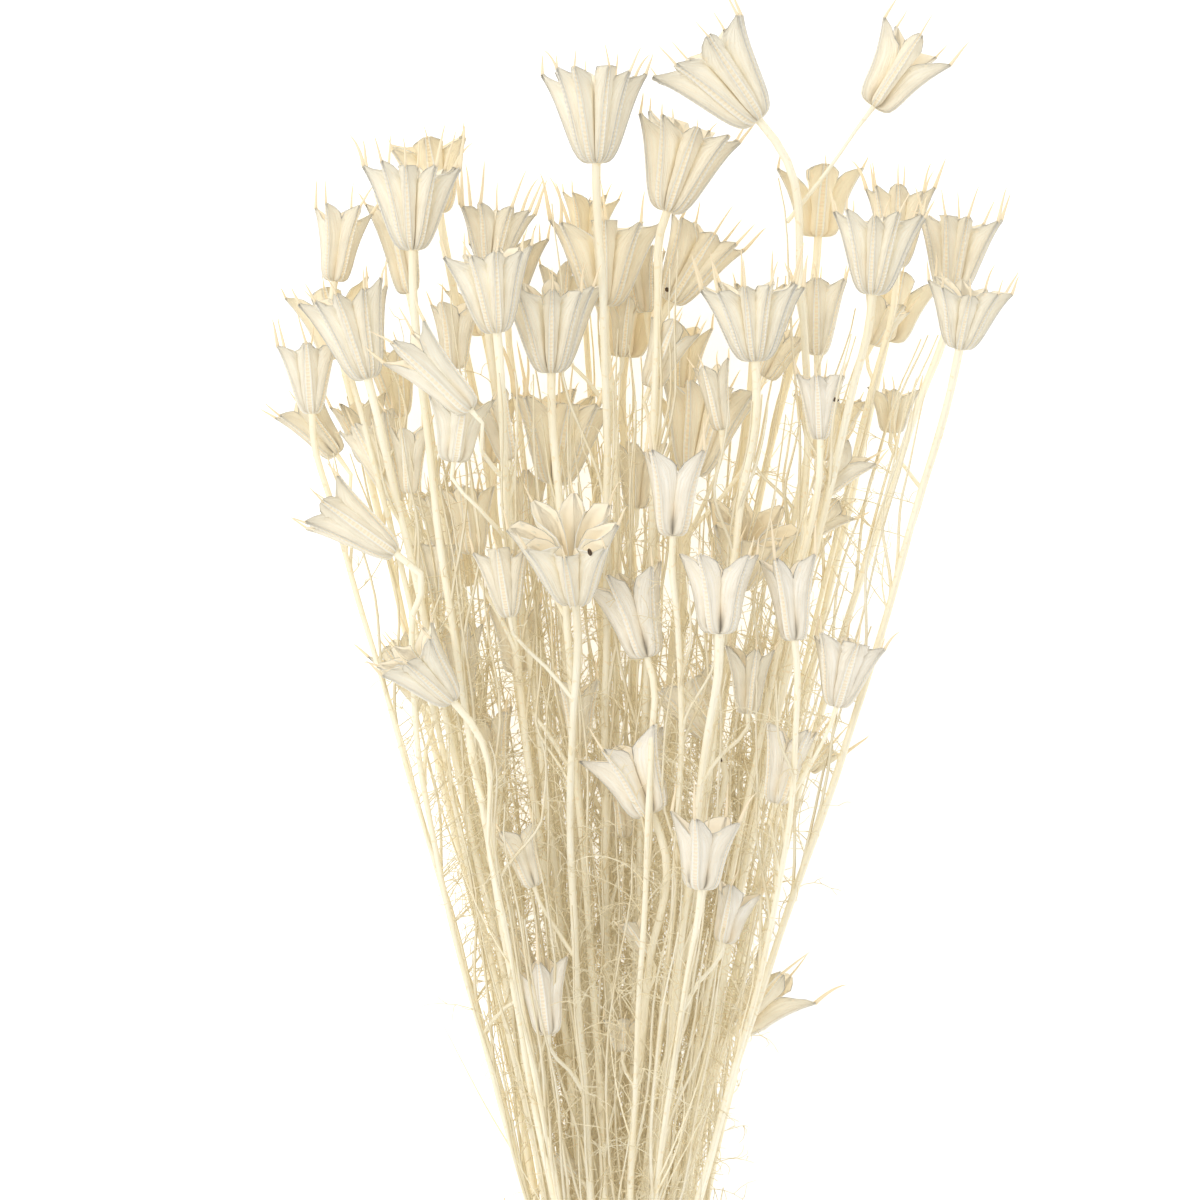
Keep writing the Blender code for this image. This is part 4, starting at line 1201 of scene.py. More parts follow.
def grid_mesh(name: str, rings: np.ndarray, marks: np.ndarray, across: np.ndarray) -> bpy.types.Mesh:
    """Makes a closed tube from rings of points, with its pattern map and its marks.

    Args:
        name: The mesh's name.
        rings: The points in millimetres, by ring and place on the ring.
        marks: Four marks for each point: rim, keel, valley and inside; the valley mark carries painted shade.
        across: The pattern map's first number for each place on a ring.

    Returns:
        The mesh, in metres.
    """
    rows, sides = rings.shape[:2]
    last = (rows - 1) * sides
    faces = [(low + k, low + (k + 1) % sides, low + sides + (k + 1) % sides, low + sides + k)
             for low in range(0, last, sides) for k in range(sides)]
    faces.append(tuple(range(sides))[::-1])
    faces.append(tuple(range(last, last + sides)))
    data = bpy.data.meshes.new(name)
    data.from_pydata((rings.reshape(-1, 3) * MM).tolist(), [], faces)
    corners = np.zeros(len(data.loops), np.int32)
    data.loops.foreach_get("vertex_index", corners)
    chart = np.column_stack([across[corners % sides], (corners // sides) / (rows - 1)])
    layer = data.uv_layers.new(name="PocketUV")
    layer.data.foreach_set("uv", chart.astype(np.float32).ravel())
    column = data.attributes.new("marks", "FLOAT_COLOR", "POINT")
    column.data.foreach_set("color", marks.reshape(-1, 4).astype(np.float32).ravel())
    husk = data.attributes.new("husk", "FLOAT", "POINT")
    husk.data.foreach_set("value", np.ones(rows * sides, np.float32))
    data.shade_smooth()
    data.validate()
    return data


@dataclass(frozen=True)
class PocketShape:
    """How one seed pocket differs from the rest: its form, open lips, bent tip and waves."""

    form: PodForm
    gape: float
    bend: float
    wave: float
    phase: float

    def tip(self) -> np.ndarray:
        """Gives the tip's place on the pocket, in millimetres."""
        return np.array([self.form.keel[-1][0], self.bend, self.form.keel[-1][1]])

    def mesh(self, name: str) -> bpy.types.Mesh:
        """Makes the pocket: a keeled, boat-shaped husk, closed below and open between its lips above.

        Args:
            name: The mesh's name.

        Returns:
            The mesh. Its first axis points away from the pod's axis and its third one along it.
        """
        rows = np.linspace(0, 1, POCKET_ROWS)
        knots = np.linspace(0, 1, len(self.form.keel))
        keel = ease_through(knots, self.form.keel, rows)
        lip = ease_through(knots, self.form.lip, rows)
        free = ramp(*FREE_LIP, rows) * (1 - ramp(*LIP_END, rows))
        ripple = LIP_RIPPLE * np.sin(RIPPLE_PITCH * rows + self.phase)
        lip[:, 1] += free * ((self.gape - USUAL_GAPE) * LIP_DIP + ripple)
        half = KEEL_HALF * (0.45 + 0.55 * ramp(0, 0.3, rows)) * (1 - 0.62 * ramp(0.62, 1.0, rows))
        away = keel - lip
        away /= np.linalg.norm(away, axis=1)[:, None]
        rise = RIM_RISE * (0.4 + 0.6 * ramp(0, 0.3, rows))[:, None]
        left = [self.side(s, keel, lip, half, rows) for s in FACE_STEPS]
        left += [(keel - away * GROOVE, half + RIB_WIDTH), (keel + away * rise, half + RIB_WIDTH * 0.3),
                 (keel - away * GROOVE, half * 0.55)]
        steps = [*FACE_STEPS, 0.97, 1.0, 1.0]
        nothing = np.zeros(len(rows))
        places, marks, across = [], [], []
        middle = len(left)
        for index, sign in [(k, -1) for k in range(middle)] + [(k, 1) for k in range(middle)[::-1]]:
            line, width = left[index]
            places.append(self.put(line, sign * width, rows))
            marks.append(self.mark(index, steps[index], rows))
            across.append(0.5 + sign * 0.5 * (1 - index / middle))
        places.insert(middle, self.put(keel - away * GROOVE * 0.5, nothing, rows))
        marks.insert(middle, np.column_stack([nothing, nothing + 1, nothing, nothing]))
        across.insert(middle, 0.5)
        lips, floor = (self.side(s, keel, lip, half, rows, WALL) for s in (0.03, 0.45))
        deep = (keel - away * INNER_DEPTH, 0.05 * half)
        for (line, width), sign in ((lips, 1), (floor, 1), (deep, 1), (floor, -1), (lips, -1)):
            places.append(self.put(line, sign * width, rows))
            marks.append(np.column_stack([nothing, nothing, nothing, nothing + 1]))
            across.append(0.5 + 0.25 * sign)
        rings = np.array(places).transpose(1, 0, 2)
        return grid_mesh(name, rings, np.array(marks).transpose(1, 0, 2), np.array(across))

    def side(self, s: float, keel: np.ndarray, lip: np.ndarray, half: np.ndarray, rows: np.ndarray,
             wall: float = 0.0) -> tuple[np.ndarray, np.ndarray]:
        """Gives one line of points up a face.

        Args:
            s: Where the line is, from 0 at the lip to 1 at the keel.
            keel: The keel's line.
            lip: The lip's line.
            half: Half the keel's width at each row.
            rows: The rows, 0 to 1.
            wall: How far inside the outer face the line is.

        Returns:
            The line's distance and height, and its distance from the pocket's middle.
        """
        line = lip + (keel - lip) * s
        depth = np.linalg.norm(keel - line, axis=1)
        room = line[:, 0] * self.form.sector * SECTOR_SHARE
        cap = self.form.cap * (1 + 0.35 * ramp(0.5, 0.9, rows))
        hollow = HOLLOW_FACES * math.sin(math.pi * s) * ramp(0.2, 0.6, rows)
        spread = half + RIB_WIDTH + self.form.flare * depth - hollow
        lipped = self.gape * (1 - s) ** 3 * ramp(0.45, 0.62, rows) * (1 - ramp(0.85, 1.0, rows))
        waves = self.wave * math.sin(math.pi * s) * np.sin(7 * rows + self.phase + 3 * s)
        width = np.minimum(np.minimum(spread, cap) + lipped, np.maximum(room, LEAST_ROOM))
        width += waves * ramp(0, 0.2, rows)
        return line, np.maximum(width - wall, LEAST_HALF)

    def put(self, line: np.ndarray, width: np.ndarray, rows: np.ndarray) -> np.ndarray:
        """Gives a line of points on the pocket, bent to the side towards the tip."""
        return np.column_stack([line[:, 0], width + self.bend * rows ** 2, line[:, 1]])

    @staticmethod
    def mark(index: int, s: float, rows: np.ndarray) -> np.ndarray:
        """Gives the marks of one line of points on the outside.

        Args:
            index: The line's number, from the lip.
            s: Where the line is, from 0 at the lip to 1 at the keel.
            rows: The rows, 0 to 1.

        Returns:
            Rim, keel, valley and inside for each row; the valley mark is painted shade, and the rim mark's
            pale is partly a painted highlight.
        """
        crease = len(FACE_STEPS)
        rim = ramp(0.45, 0.6, rows) if index == 0 else np.full(len(rows), float(index == crease + 1))
        keel = np.full(len(rows), float(s == 1.0))
        # Painted shade: low on the faces near the lips, where neighbouring pockets meet, and along the crease
        # beside the keel ribs
        valley = (1 - ramp(0.55, 0.88, s)) * (1 - ramp(0.22, 0.6, rows)) + CREASE_SHADE * (index == crease)
        return np.column_stack([rim, keel, valley, np.zeros(len(rows))])


@dataclass(frozen=True)
class HornShape:
    """How one horn bends: a horn of length one, drawn out to a point."""

    bend: float
    hook: float
    sides: int = 6
    rows: int = 8

    def mesh(self, name: str) -> bpy.types.Mesh:
        """Makes the horn along its third axis.

        Args:
            name: The mesh's name.

        Returns:
            The mesh.
        """
        t = np.linspace(0, 1, self.rows)
        radius = HORN_ROOT * (1 - t) ** HORN_TAPER + HORN_POINT
        turn = 2 * math.pi * np.arange(self.sides) / self.sides
        x = self.bend * t ** 2 + self.hook * t ** 5
        rings = np.stack([x[:, None] + 1.15 * radius[:, None] * np.cos(turn),
                          0.8 * radius[:, None] * np.sin(turn) + 0.4 * self.bend * (t * (1 - t))[:, None],
                          np.broadcast_to(t[:, None], (self.rows, self.sides))], axis=2)
        marks = np.zeros((self.rows, self.sides, 4))
        # Horns carry rim, valley and inside marks all over: no pale rim, and the valley mark's painted shade
        # tans the whole horn
        marks[:, :, [0, 2, 3]] = 1.0
        return grid_mesh(name, rings, marks, np.linspace(0, 1, self.sides))


class ShapeTray:
    """The pocket and horn shapes that the pods are set with, in a collection of their own."""

    per_form = 8
    horn_kinds = 6

    def __init__(self, rng: np.random.Generator) -> None:
        """Draws the shapes and makes their meshes.

        Args:
            rng: The random draws of the looks.
        """
        self.pockets = [PocketShape(form, *(rng.uniform(*spread) for spread in POCKET_VARIETY))
                        for form in PodForm for _ in range(self.per_form)]
        self.horns = [HornShape(*(rng.uniform(*spread) for spread in HORN_BENDS))
                      for _ in range(self.horn_kinds)]
        self.collection = bpy.data.collections.new("pod_shapes")
        for number, shape in enumerate([*self.pockets, *self.horns]):
            name = f"shape_{number:02d}"
            self.collection.objects.link(bpy.data.objects.new(name, shape.mesh(name)))

    def draw(self, form: PodForm, rng: np.random.Generator) -> int:
        """Draws the number of a pocket of that form."""
        return list(PodForm).index(form) * self.per_form + int(rng.integers(self.per_form))

    def clear(self) -> None:
        """Removes the shapes once every pod is made."""
        for kept in list(self.collection.objects):
            bpy.data.objects.remove(kept)
        bpy.data.collections.remove(self.collection)


def turn_of(axes: np.ndarray) -> tuple[float, ...]:
    """Gives the Euler angles of three axes, one a column."""
    return tuple(Matrix(axes.tolist()).to_euler())


@dataclass
class PodDressing:
    """Sets one pod's pockets and horns as marked points on its stem's skeleton."""

    pod: Pod
    start: float
    tips: list[np.ndarray]
    tray: ShapeTray
    jitter: float = 0.05
    horn_root: float = 0.985

    def tone(self) -> Tone:
        """Chooses the pod's tone: pale on top of the bunch and darker deep inside it, as painted shade;
        pearly pods stay pale.

        Returns:
            The tone.
        """
        if self.pod.name in PEARLY_PODS:
            return Tone.PEARL
        for height, tone in zip(SHADED_TONE_HEIGHTS, (Tone.IVORY, Tone.CREAM, Tone.SAND)):
            if self.pod.base[2] >= height:
                return tone
        return Tone.OCHRE

    def set_on(self, skeleton: Skeleton, rng: np.random.Generator) -> None:
        """Marks every pocket and horn.

        Args:
            skeleton: The stem's skeleton.
            rng: The random draws of the looks.
        """
        pod = self.pod
        wide, tall = pod.width / POD_WIDTH, pod.length / POD_LENGTH
        form = PodForm.of(pod)
        sector = math.tan(math.pi / max(pod.pockets, 4)) / form.sector
        broad = (0.25 + 0.75 * wide) * min(sector, 1.0)
        side_a, side_b = cross_axes(pod.axis)
        colour = np.array(self.tone().value) * rng.uniform(0.97, 1.03)
        slots = 1.0 if pod.name in GREY_SLOTS else rng.uniform(0.0, 0.45)
        for k, tip in enumerate(self.tips):
            turn = self.start + 2 * math.pi * k / pod.pockets + rng.uniform(-1, 1) * self.jitter
            lean = rng.uniform(-1, 1) * self.jitter
            out = side_a * math.cos(turn) + side_b * math.sin(turn)
            axis = pod.axis * math.cos(lean) + out * math.sin(lean)
            out = out * math.cos(lean) - pod.axis * math.sin(lean)
            axes = np.column_stack([out, np.cross(axis, out), axis])
            number = self.tray.draw(form, rng)
            size = np.array([wide, broad, tall]) * rng.uniform(0.96, 1.04)
            tone = (*(colour * rng.uniform(0.97, 1.03)), 1)
            skeleton.add(pod.base[None], shape=number, turn=turn_of(axes), size=size, tone=tone, slots=slots)
            root = pod.base + axes @ (self.tray.pockets[number].tip() * size * self.horn_root)
            self.set_horn(skeleton, root, tip, out, tone, rng)

    def set_horn(self, skeleton: Skeleton, root: np.ndarray, tip: np.ndarray, out: np.ndarray,
                 tone: tuple[float, ...], rng: np.random.Generator) -> None:
        """Marks one horn.

        Args:
            skeleton: The stem's skeleton.
            root: Where the horn starts.
            tip: Where it ends.
            out: The direction away from the pod's axis.
            tone: Its colour.
            rng: The random draws of the looks.
        """
        along = tip - root
        length = float(np.linalg.norm(along))
        along /= max(length, 1e-6)
        across = np.cross(along, out)
        across /= np.linalg.norm(across)
        axes = np.column_stack([np.cross(across, along), across, along])
        number = len(self.tray.pockets) + int(rng.integers(len(self.tray.horns)))
        thick = math.sqrt(HORN_REFERENCE * max(length, 2.0))
        skeleton.add(root[None], shape=number, turn=turn_of(axes), size=(thick, thick, max(length, 1.0)),
                     tone=tone)


@dataclass
class DressedStem:
    """One cut stem with its branches, pods, horns and larger leaves."""

    number: int
    stem: Stem
    branches: list[Stem]
    leaves: list[Stem]
    skeleton: Skeleton = field(default_factory=Skeleton)

    def line(self, stem: Stem, thickness: list[float], rng: np.random.Generator, tone: np.ndarray) -> None:
        """Adds a stalk's line, eased through its knots, with a slight sway of its own.

        Args:
            stem: The stalk.
            thickness: Its radius at its foot, at its waist and at its neck.
            rng: The random draws of the looks.
            tone: Its colour.
        """
        low, high = stem.along[0], stem.along[-1]
        y = np.linspace(low, high, max(int((high - low) / STALK_ROW), 6))
        across = ease_through(stem.along, stem.across, y)
        u = (y - low) / (high - low)
        hold = np.minimum(ramp(0, 0.15, u), 1 - ramp(0.85, 1, u)) * STALK_SWAY
        phase = rng.uniform(0, 6, 4)
        for side, (short, long) in enumerate(STALK_WAVES):
            first, second = phase[2 * side:2 * side + 2]
            across[:, side] += hold * (np.sin(y / short + first) + np.sin(y / long + second)) / 2
        foot, waist, neck = thickness
        radius = np.interp(u, (0, 0.55, 0.9, 1), (foot, waist, waist * 1.04, neck))
        radius *= 1 + 0.05 * np.sin(y / 4 + phase[0]) * np.sin(y / 17 + phase[1])
        self.skeleton.line(points_along(across, y), radius, tone)

    def build(self, pods: list[Pod], plans: list, tray: ShapeTray, rng: np.random.Generator, tree: GrowthTree,
              values: dict[str, object]) -> bpy.types.Object:
        """Grows the whole stem.

        Args:
            pods: All pods.
            plans: Each pod's turn and the tips of its horns.
            tray: The pocket and horn shapes.
            rng: The random draws of the looks.
            tree: The tree that grows it.
            values: The tree's inputs.

        Returns:
            The finished piece.
        """
        shade = rng.uniform(0.9, 1.03)
        # Painted shade: a stalk whose head lies low in the bunch takes the darker thread tone
        top = self.stem.across[-1][1]
        depth = float(ramp(20, 70, top))
        tone = (np.array(Tone.THREAD.value) * (1 - depth) + np.array(Tone.STALK.value) * depth) * shade
        wide = pods[self.stem.pod].width >= THICK_NECK_POD_WIDTH
        waist = STALK_WAIST if wide else THIN_STALK_WAIST
        self.line(self.stem, [STALK_FOOT, waist, self.stem.radius[-1] * 0.95], rng, tone)
        for branch in self.branches:
            self.line(branch, [BRANCH_THICKNESS * share for share in BRANCH_TAPER], rng, tone)
        for leaf in self.leaves:
            at = np.linspace(0, 1, 12)
            knots = np.linspace(0, 1, len(leaf.along))
            places = ease_through(knots, points_along(leaf.across, leaf.along), at)
            self.skeleton.line(places, LEAF_THICKNESS * (1 - 0.7 * at), Tone.THREAD.value)
        for grown in (self.stem, *self.branches):
            start, tips = plans[grown.pod]
            PodDressing(pods[grown.pod], start, tips, tray).set_on(self.skeleton, rng)
        name = f"dressed_stem_{self.number:02d}"
        return tree.grow(name, self.skeleton.mesh(name), values)


def stem_tree() -> GrowthTree:
    """Builds the tree that grows a stem: ribbed tubes along its lines, pockets and horns on its points.

    Returns:
        The tree.
    """
    tree = GrowthTree("nigella_stem", {"Shapes": "NodeSocketCollection", "Ribs": "NodeSocketInt",
                                       "Rib Depth": "NodeSocketFloat", "Stalk": "NodeSocketMaterial",
                                       "Husk": "NodeSocketMaterial"})
    sheet, source = tree.sheet, tree.source
    lines = sheet.add("GeometryNodeMeshToCurve", {0: source["Geometry"]}).outputs[0]
    inner = sheet.math("SUBTRACT", 1.0, source["Rib Depth"])
    star = sheet.add("GeometryNodeCurveStar", {"Points": source["Ribs"], "Inner Radius": inner,
                                               "Outer Radius": 1.0}).outputs[0]
    tubes = tree.tube(lines, star)
    shape = tree.named("shape", "INT")
    marked = sheet.add("FunctionNodeCompare", {2: shape, 3: 0}, data_type="INT", operation="GREATER_EQUAL")
    shapes = sheet.add("GeometryNodeCollectionInfo", {
        "Collection": source["Shapes"], "Separate Children": True, "Reset Children": True})
    turn = sheet.add("FunctionNodeEulerToRotation", {0: tree.named("turn", "FLOAT_VECTOR")})
    placed = sheet.add("GeometryNodeInstanceOnPoints", {
        "Points": source["Geometry"], "Selection": marked.outputs[0], "Instance": shapes.outputs[0],
        "Pick Instance": True, "Instance Index": shape, "Rotation": turn.outputs[0],
        "Scale": tree.named("size", "FLOAT_VECTOR")})
    joined = sheet.add("GeometryNodeJoinGeometry")
    for part in (tubes, placed.outputs[0]):
        sheet.tree.links.new(part, joined.inputs[0])
    real = sheet.add("GeometryNodeRealizeInstances", {"Geometry": joined.outputs[0]})
    stalk = sheet.add("GeometryNodeSetMaterial", {"Geometry": real.outputs[0], "Material": source["Stalk"]})
    husk = sheet.add("FunctionNodeCompare", {0: tree.named("husk"), 1: 0.5}, operation="GREATER_THAN")
    dressed = sheet.add("GeometryNodeSetMaterial", {
        "Geometry": stalk.outputs[0], "Selection": husk.outputs[0], "Material": source["Husk"]})
    sheet.add("NodeGroupOutput", {0: dressed.outputs[0]})
    return tree


def cord_tree(name: str, twisted: bool) -> GrowthTree:
    """Builds a tree that runs a profile along lines.

    Args:
        name: The tree's name.
        twisted: True for plied twine, False for plain threads.

    Returns:
        The tree.
    """
    tree = GrowthTree(name, {"Sides": "NodeSocketInt", "Twist": "NodeSocketFloat",
                             "Material": "NodeSocketMaterial"})
    sheet, source = tree.sheet, tree.source
    lines = sheet.add("GeometryNodeMeshToCurve", {0: source["Geometry"]}).outputs[0]
    if twisted:
        length = sheet.add("GeometryNodeSplineParameter").outputs["Length"]
        lines = sheet.add("GeometryNodeSetCurveTilt", {
            "Curve": lines, "Tilt": sheet.math("MULTIPLY", length, source["Twist"])}).outputs[0]
        profile = sheet.add("GeometryNodeCurveStar", {"Points": source["Sides"], "Inner Radius": 0.62,
                                                      "Outer Radius": 1.0})
    else:
        profile = sheet.add("GeometryNodeCurvePrimitiveCircle", {"Resolution": source["Sides"],
                                                                 "Radius": 1.0})
    tree.end(tree.tube(lines, profile.outputs[0]), source["Material"])
    return tree


@dataclass
class ThreadLeaves:
    """The fine, curly thread leaves among the stalks: fronds with a spine and side threads."""

    stems: list[Stem]
    rng: np.random.Generator
    low: float = -20.0
    high: float = 318.0
    bands: tuple[float, ...] = (120.0, 195.0)
    skeletons: list[Skeleton] = field(default_factory=list)

    def curl(self, start: np.ndarray, heading: np.ndarray, length: float, tightness: float) -> np.ndarray:
        """Walks one curling thread.

        Args:
            start: Where it leaves.
            heading: Its first direction, of unit length.
            length: Its length.
            tightness: How far its direction changes with each step.

        Returns:
            Its points.
        """
        steps = max(int(length / THREAD_STEP), 3)
        turn = self.rng.normal(0, 1, 3) * tightness
        wander = self.rng.normal(0, 1, (steps, 3)) * tightness * 0.7
        places = [start]
        for k in range(steps):
            heading = heading + np.cross(turn, heading) + wander[k]
            heading = heading / np.linalg.norm(heading)
            places.append(places[-1] + heading * length / steps)
        places = np.array(places)
        places[:, 2] = np.maximum(places[:, 2], FLOOR_LIFT + FROND_THICKNESS)
        return places

    def shoot(self, skeleton: Skeleton) -> None:
        """Adds one withered side shoot: a thin stalk that leaves a stem and runs along it.

        Args:
            skeleton: What it is added to.
        """
        rng = self.rng
        stem = self.stems[int(rng.integers(len(self.stems)))]
        low = rng.uniform(self.low - SHOOT_START, SHOOT_TOP)
        high = min(low + rng.uniform(*SHOOT_LENGTH), stem.along[-1] - SHOOT_END_ROOM)
        around, reach = rng.uniform(0, 2 * math.pi), rng.uniform(*SHOOT_REACH)
        if high < low + SHORTEST_SHOOT:
            return
        y = np.linspace(low, high, 14)
        t = (y - low) / (high - low)
        across = ease_through(stem.along, stem.across, y)
        aside = reach * ramp(0, 0.5, t) + rng.uniform(-2, 3) * t ** 2
        if abs(across[-1, 0]) > OUTER_STEM and math.cos(around) * across[-1, 0] > 0:
            around = math.pi - around
        across[:, 0] += aside * math.cos(around + rng.uniform(-1, 1) * 0.5) + 0.5 * np.sin(y / 8 + around)
        across[:, 1] += aside * math.sin(around) * 0.8 + 0.5 * np.sin(y / 10 + reach)
        across[:, 1] = np.maximum(across[:, 1], SHOOT_THICKNESS)
        tone = np.array(Tone.SAND.value) * rng.uniform(0.94, 1.04)
        skeleton.line(points_along(across, y), SHOOT_THICKNESS * (1 - SHOOT_TAPER * t), tone)

    def frond(self, skeleton: Skeleton, start: np.ndarray, heading: np.ndarray) -> None:
        """Adds one frond.

        Args:
            skeleton: What it is added to.
            start: Its foot, on a stalk.
            heading: Its first direction.
        """
        rng = self.rng
        length = rng.uniform(*FROND_LENGTH)
        tone = np.array(Tone.THREAD.value) * rng.uniform(0.86, 1.03)
        spine = self.curl(start, heading, length, FROND_CURL)
        skeleton.line(spine, np.linspace(1, FROND_TAPER, len(spine)) * FROND_THICKNESS, tone)
        for _ in range(int(rng.integers(*SIDE_THREADS))):
            at = int(rng.integers(1, len(spine)))
            along = spine[at] - spine[at - 1]
            along /= max(np.linalg.norm(along), 1e-6)
            aside = np.cross(along, rng.normal(0, 1, 3))
            aside /= np.linalg.norm(aside)
            way = along * 0.6 + aside * 0.8
            thread = self.curl(spine[at], way, rng.uniform(*SIDE_LENGTH), SIDE_CURL)
            skeleton.line(thread, np.linspace(1, SIDE_TAPER, len(thread)) * SIDE_THICKNESS, tone)

    def scatter(self, count: int) -> None:
        """Spreads the fronds over the stalks, in one skeleton for each stretch of the bunch.

        Args:
            count: How many fronds there are.
        """
        rng = self.rng
        self.skeletons = [Skeleton() for _ in range(len(self.bands) + 1)]
        for _ in range(SHOOT_COUNT):
            self.shoot(self.skeletons[-1])
        for _ in range(count):
            stem = self.stems[int(rng.integers(len(self.stems)))]
            y = rng.triangular(self.low, FROND_MIDDLE, self.high)
            if y > stem.along[-1] - FROND_END_ROOM:
                continue
            x, z = ease_through(stem.along, stem.across, np.array([y]))[0]
            around = rng.uniform(0, 2 * math.pi)
            spread = rng.uniform(*FROND_SPREAD)
            inward, up = FROND_TURN_IN
            heading = np.array([spread * math.cos(around) - inward * x, 1.0,
                                spread * math.sin(around) + up * (MIDDLE_HEIGHT - z)])
            band = sum(y > edge for edge in self.bands)
            self.frond(self.skeletons[band], np.array([x, y, z]), heading / np.linalg.norm(heading))


@dataclass
class TwineTie:
    """The tie: turns of plied twine round the stalks, with a flat knot and two ends on top."""

    turns: int = 4
    radius: float = 0.95
    steps: int = 40
    tail: float = 24.0
    knot: tuple[float, float] = (3.4, 4.2)
    crossing: tuple[float, float] = (4.6, 1.2)
    ends: tuple[tuple[int, float], ...] = ((-1, -0.7), (1, 0.8))
    fray: float = 0.85

    def ring_place(self, turn: float, y: float) -> list[float]:
        """Gives a point of the winding, in millimetres, pressed flat where it lies on the floor.

        Args:
            turn: The angle round the stalks.
            y: The point's place along the bunch.

        Returns:
            The point.
        """
        middle = TIE_THICKNESS + TIE_HALF_DEPTH
        x = (TIE_HALF_WIDTH + self.radius) * math.cos(turn)
        z = middle + (TIE_HALF_DEPTH + self.radius * 0.9) * math.sin(turn)
        return [x, y, max(z, self.radius)]

    def lay(self, made: Skeleton, places: list | np.ndarray, end_share: float = 1.0) -> None:
        """Lays one length of twine.

        Args:
            made: The tie's skeleton.
            places: The twine's points.
            end_share: How thick its far end is for its near one.
        """
        thickness = np.linspace(self.radius, self.radius * end_share, len(places))
        made.line(np.array(places), thickness, Tone.TWINE.value)

    def skeleton(self) -> Skeleton:
        """Lays the winding, the knot and the ends.

        Returns:
            The tie's skeleton.
        """
        made = Skeleton()
        count = self.turns * self.steps
        breadth = TIE_BREADTH - 2 * self.radius
        self.lay(made, [self.ring_place(math.pi / 2 + 2 * math.pi * k / self.steps,
                                        -breadth / 2 + breadth * k / count) for k in range(count + 1)])
        top = 2 * (TIE_THICKNESS + TIE_HALF_DEPTH) - self.radius
        wide, long = self.knot
        self.lay(made, [(wide * math.cos(a) * (1 + 0.15 * math.cos(3 * a)), long * math.sin(a),
                         top + 2.0 + 0.8 * math.sin(3 * a)) for a in np.linspace(0, 2.2 * math.pi, 30)])
        wide, long = self.crossing
        self.lay(made, [(wide * math.sin(a), long * math.sin(2 * a), top + 2.2 + 1.4 * math.cos(a))
                        for a in np.linspace(0, 2 * math.pi, 26)])
        t = np.linspace(0, 1, 16)
        for side, share in self.ends:
            self.lay(made, np.column_stack([
                side * (2 + 7 * t + 4 * t ** 2), side * 2 + self.tail * (t - 0.1 * t ** 2) * share,
                top + 2.2 + 1.2 * np.sin(3 * t) - 3.0 * t ** 2]), self.fray)
        return made


@dataclass
class LooseSeeds:
    """A few ripe seeds that have stayed caught on the pods and stalks."""

    places: tuple[tuple[float, float], ...] = (
        (47.1, 280.0), (14.4, 228.8), (3.9, 314.9), (64.2, 307.7), (14.4, 342.5), (30.0, 200.0),
        (-42.0, 322.0), (-9.0, 262.0))
    half_length: float = 1.15
    half_width: float = 0.68
    rows: int = 6
    sides: int = 7
    drop: float = 0.3
    lift: float = 0.35

    def seed_mesh(self) -> bpy.types.Mesh:
        """Makes one angular, wrinkled seed of a few dozen faces.

        Returns:
            The mesh.
        """
        size = (self.rows, self.sides)
        t = np.linspace(0.02, 0.98, self.rows) * math.pi
        turn = 2 * math.pi * np.arange(self.sides) / self.sides
        wrinkles = 1 + 0.12 * np.cos(3 * turn) * np.sin(2 * t)[:, None]
        radius = self.half_width * np.sin(t)[:, None] * wrinkles
        height = np.broadcast_to((-self.half_length * np.cos(t))[:, None], size)
        rings = np.stack([radius * np.cos(turn), radius * np.sin(turn), height], axis=2)
        return grid_mesh("seed", rings, np.zeros((*size, 4)), np.linspace(0, 1, self.sides))

    def build(self, material: bpy.types.Material, rng: np.random.Generator) -> bpy.types.Object:
        """Drops the seeds on what lies under them.

        Args:
            material: Their finish.
            rng: The random draws of the looks.

        Returns:
            The finished piece.
        """
        skeleton = Skeleton()
        graph = bpy.context.evaluated_depsgraph_get()
        for x, y in self.places:
            above = Vector((x * MM, y * MM, self.drop))
            hit, place, *_ = bpy.context.scene.ray_cast(graph, above, Vector((0, 0, -1)))
            if hit:
                turn = tuple(rng.uniform(0, 3, 3))
                skeleton.add(np.array([[x, y, place.z / MM + self.lift]]), shape=0, turn=turn)
        kept = bpy.data.collections.new("seed_shapes")
        kept.objects.link(bpy.data.objects.new("seed", self.seed_mesh()))
        tree = GrowthTree("loose_seeds", {"Shapes": "NodeSocketCollection", "Material": "NodeSocketMaterial"})
        sheet, source = tree.sheet, tree.source
        shapes = sheet.add("GeometryNodeCollectionInfo", {"Collection": source["Shapes"]})
        turned = sheet.add("FunctionNodeEulerToRotation", {0: tree.named("turn", "FLOAT_VECTOR")})
        placed = sheet.add("GeometryNodeInstanceOnPoints", {
            "Points": source["Geometry"], "Instance": shapes.outputs[0], "Rotation": turned.outputs[0]})
        tree.end(placed.outputs[0], source["Material"])
        made = tree.grow("loose_seeds", skeleton.mesh("loose_seeds"), {"Shapes": kept, "Material": material})
        bpy.data.objects.remove(kept.objects[0])
        bpy.data.collections.remove(kept)
        return made


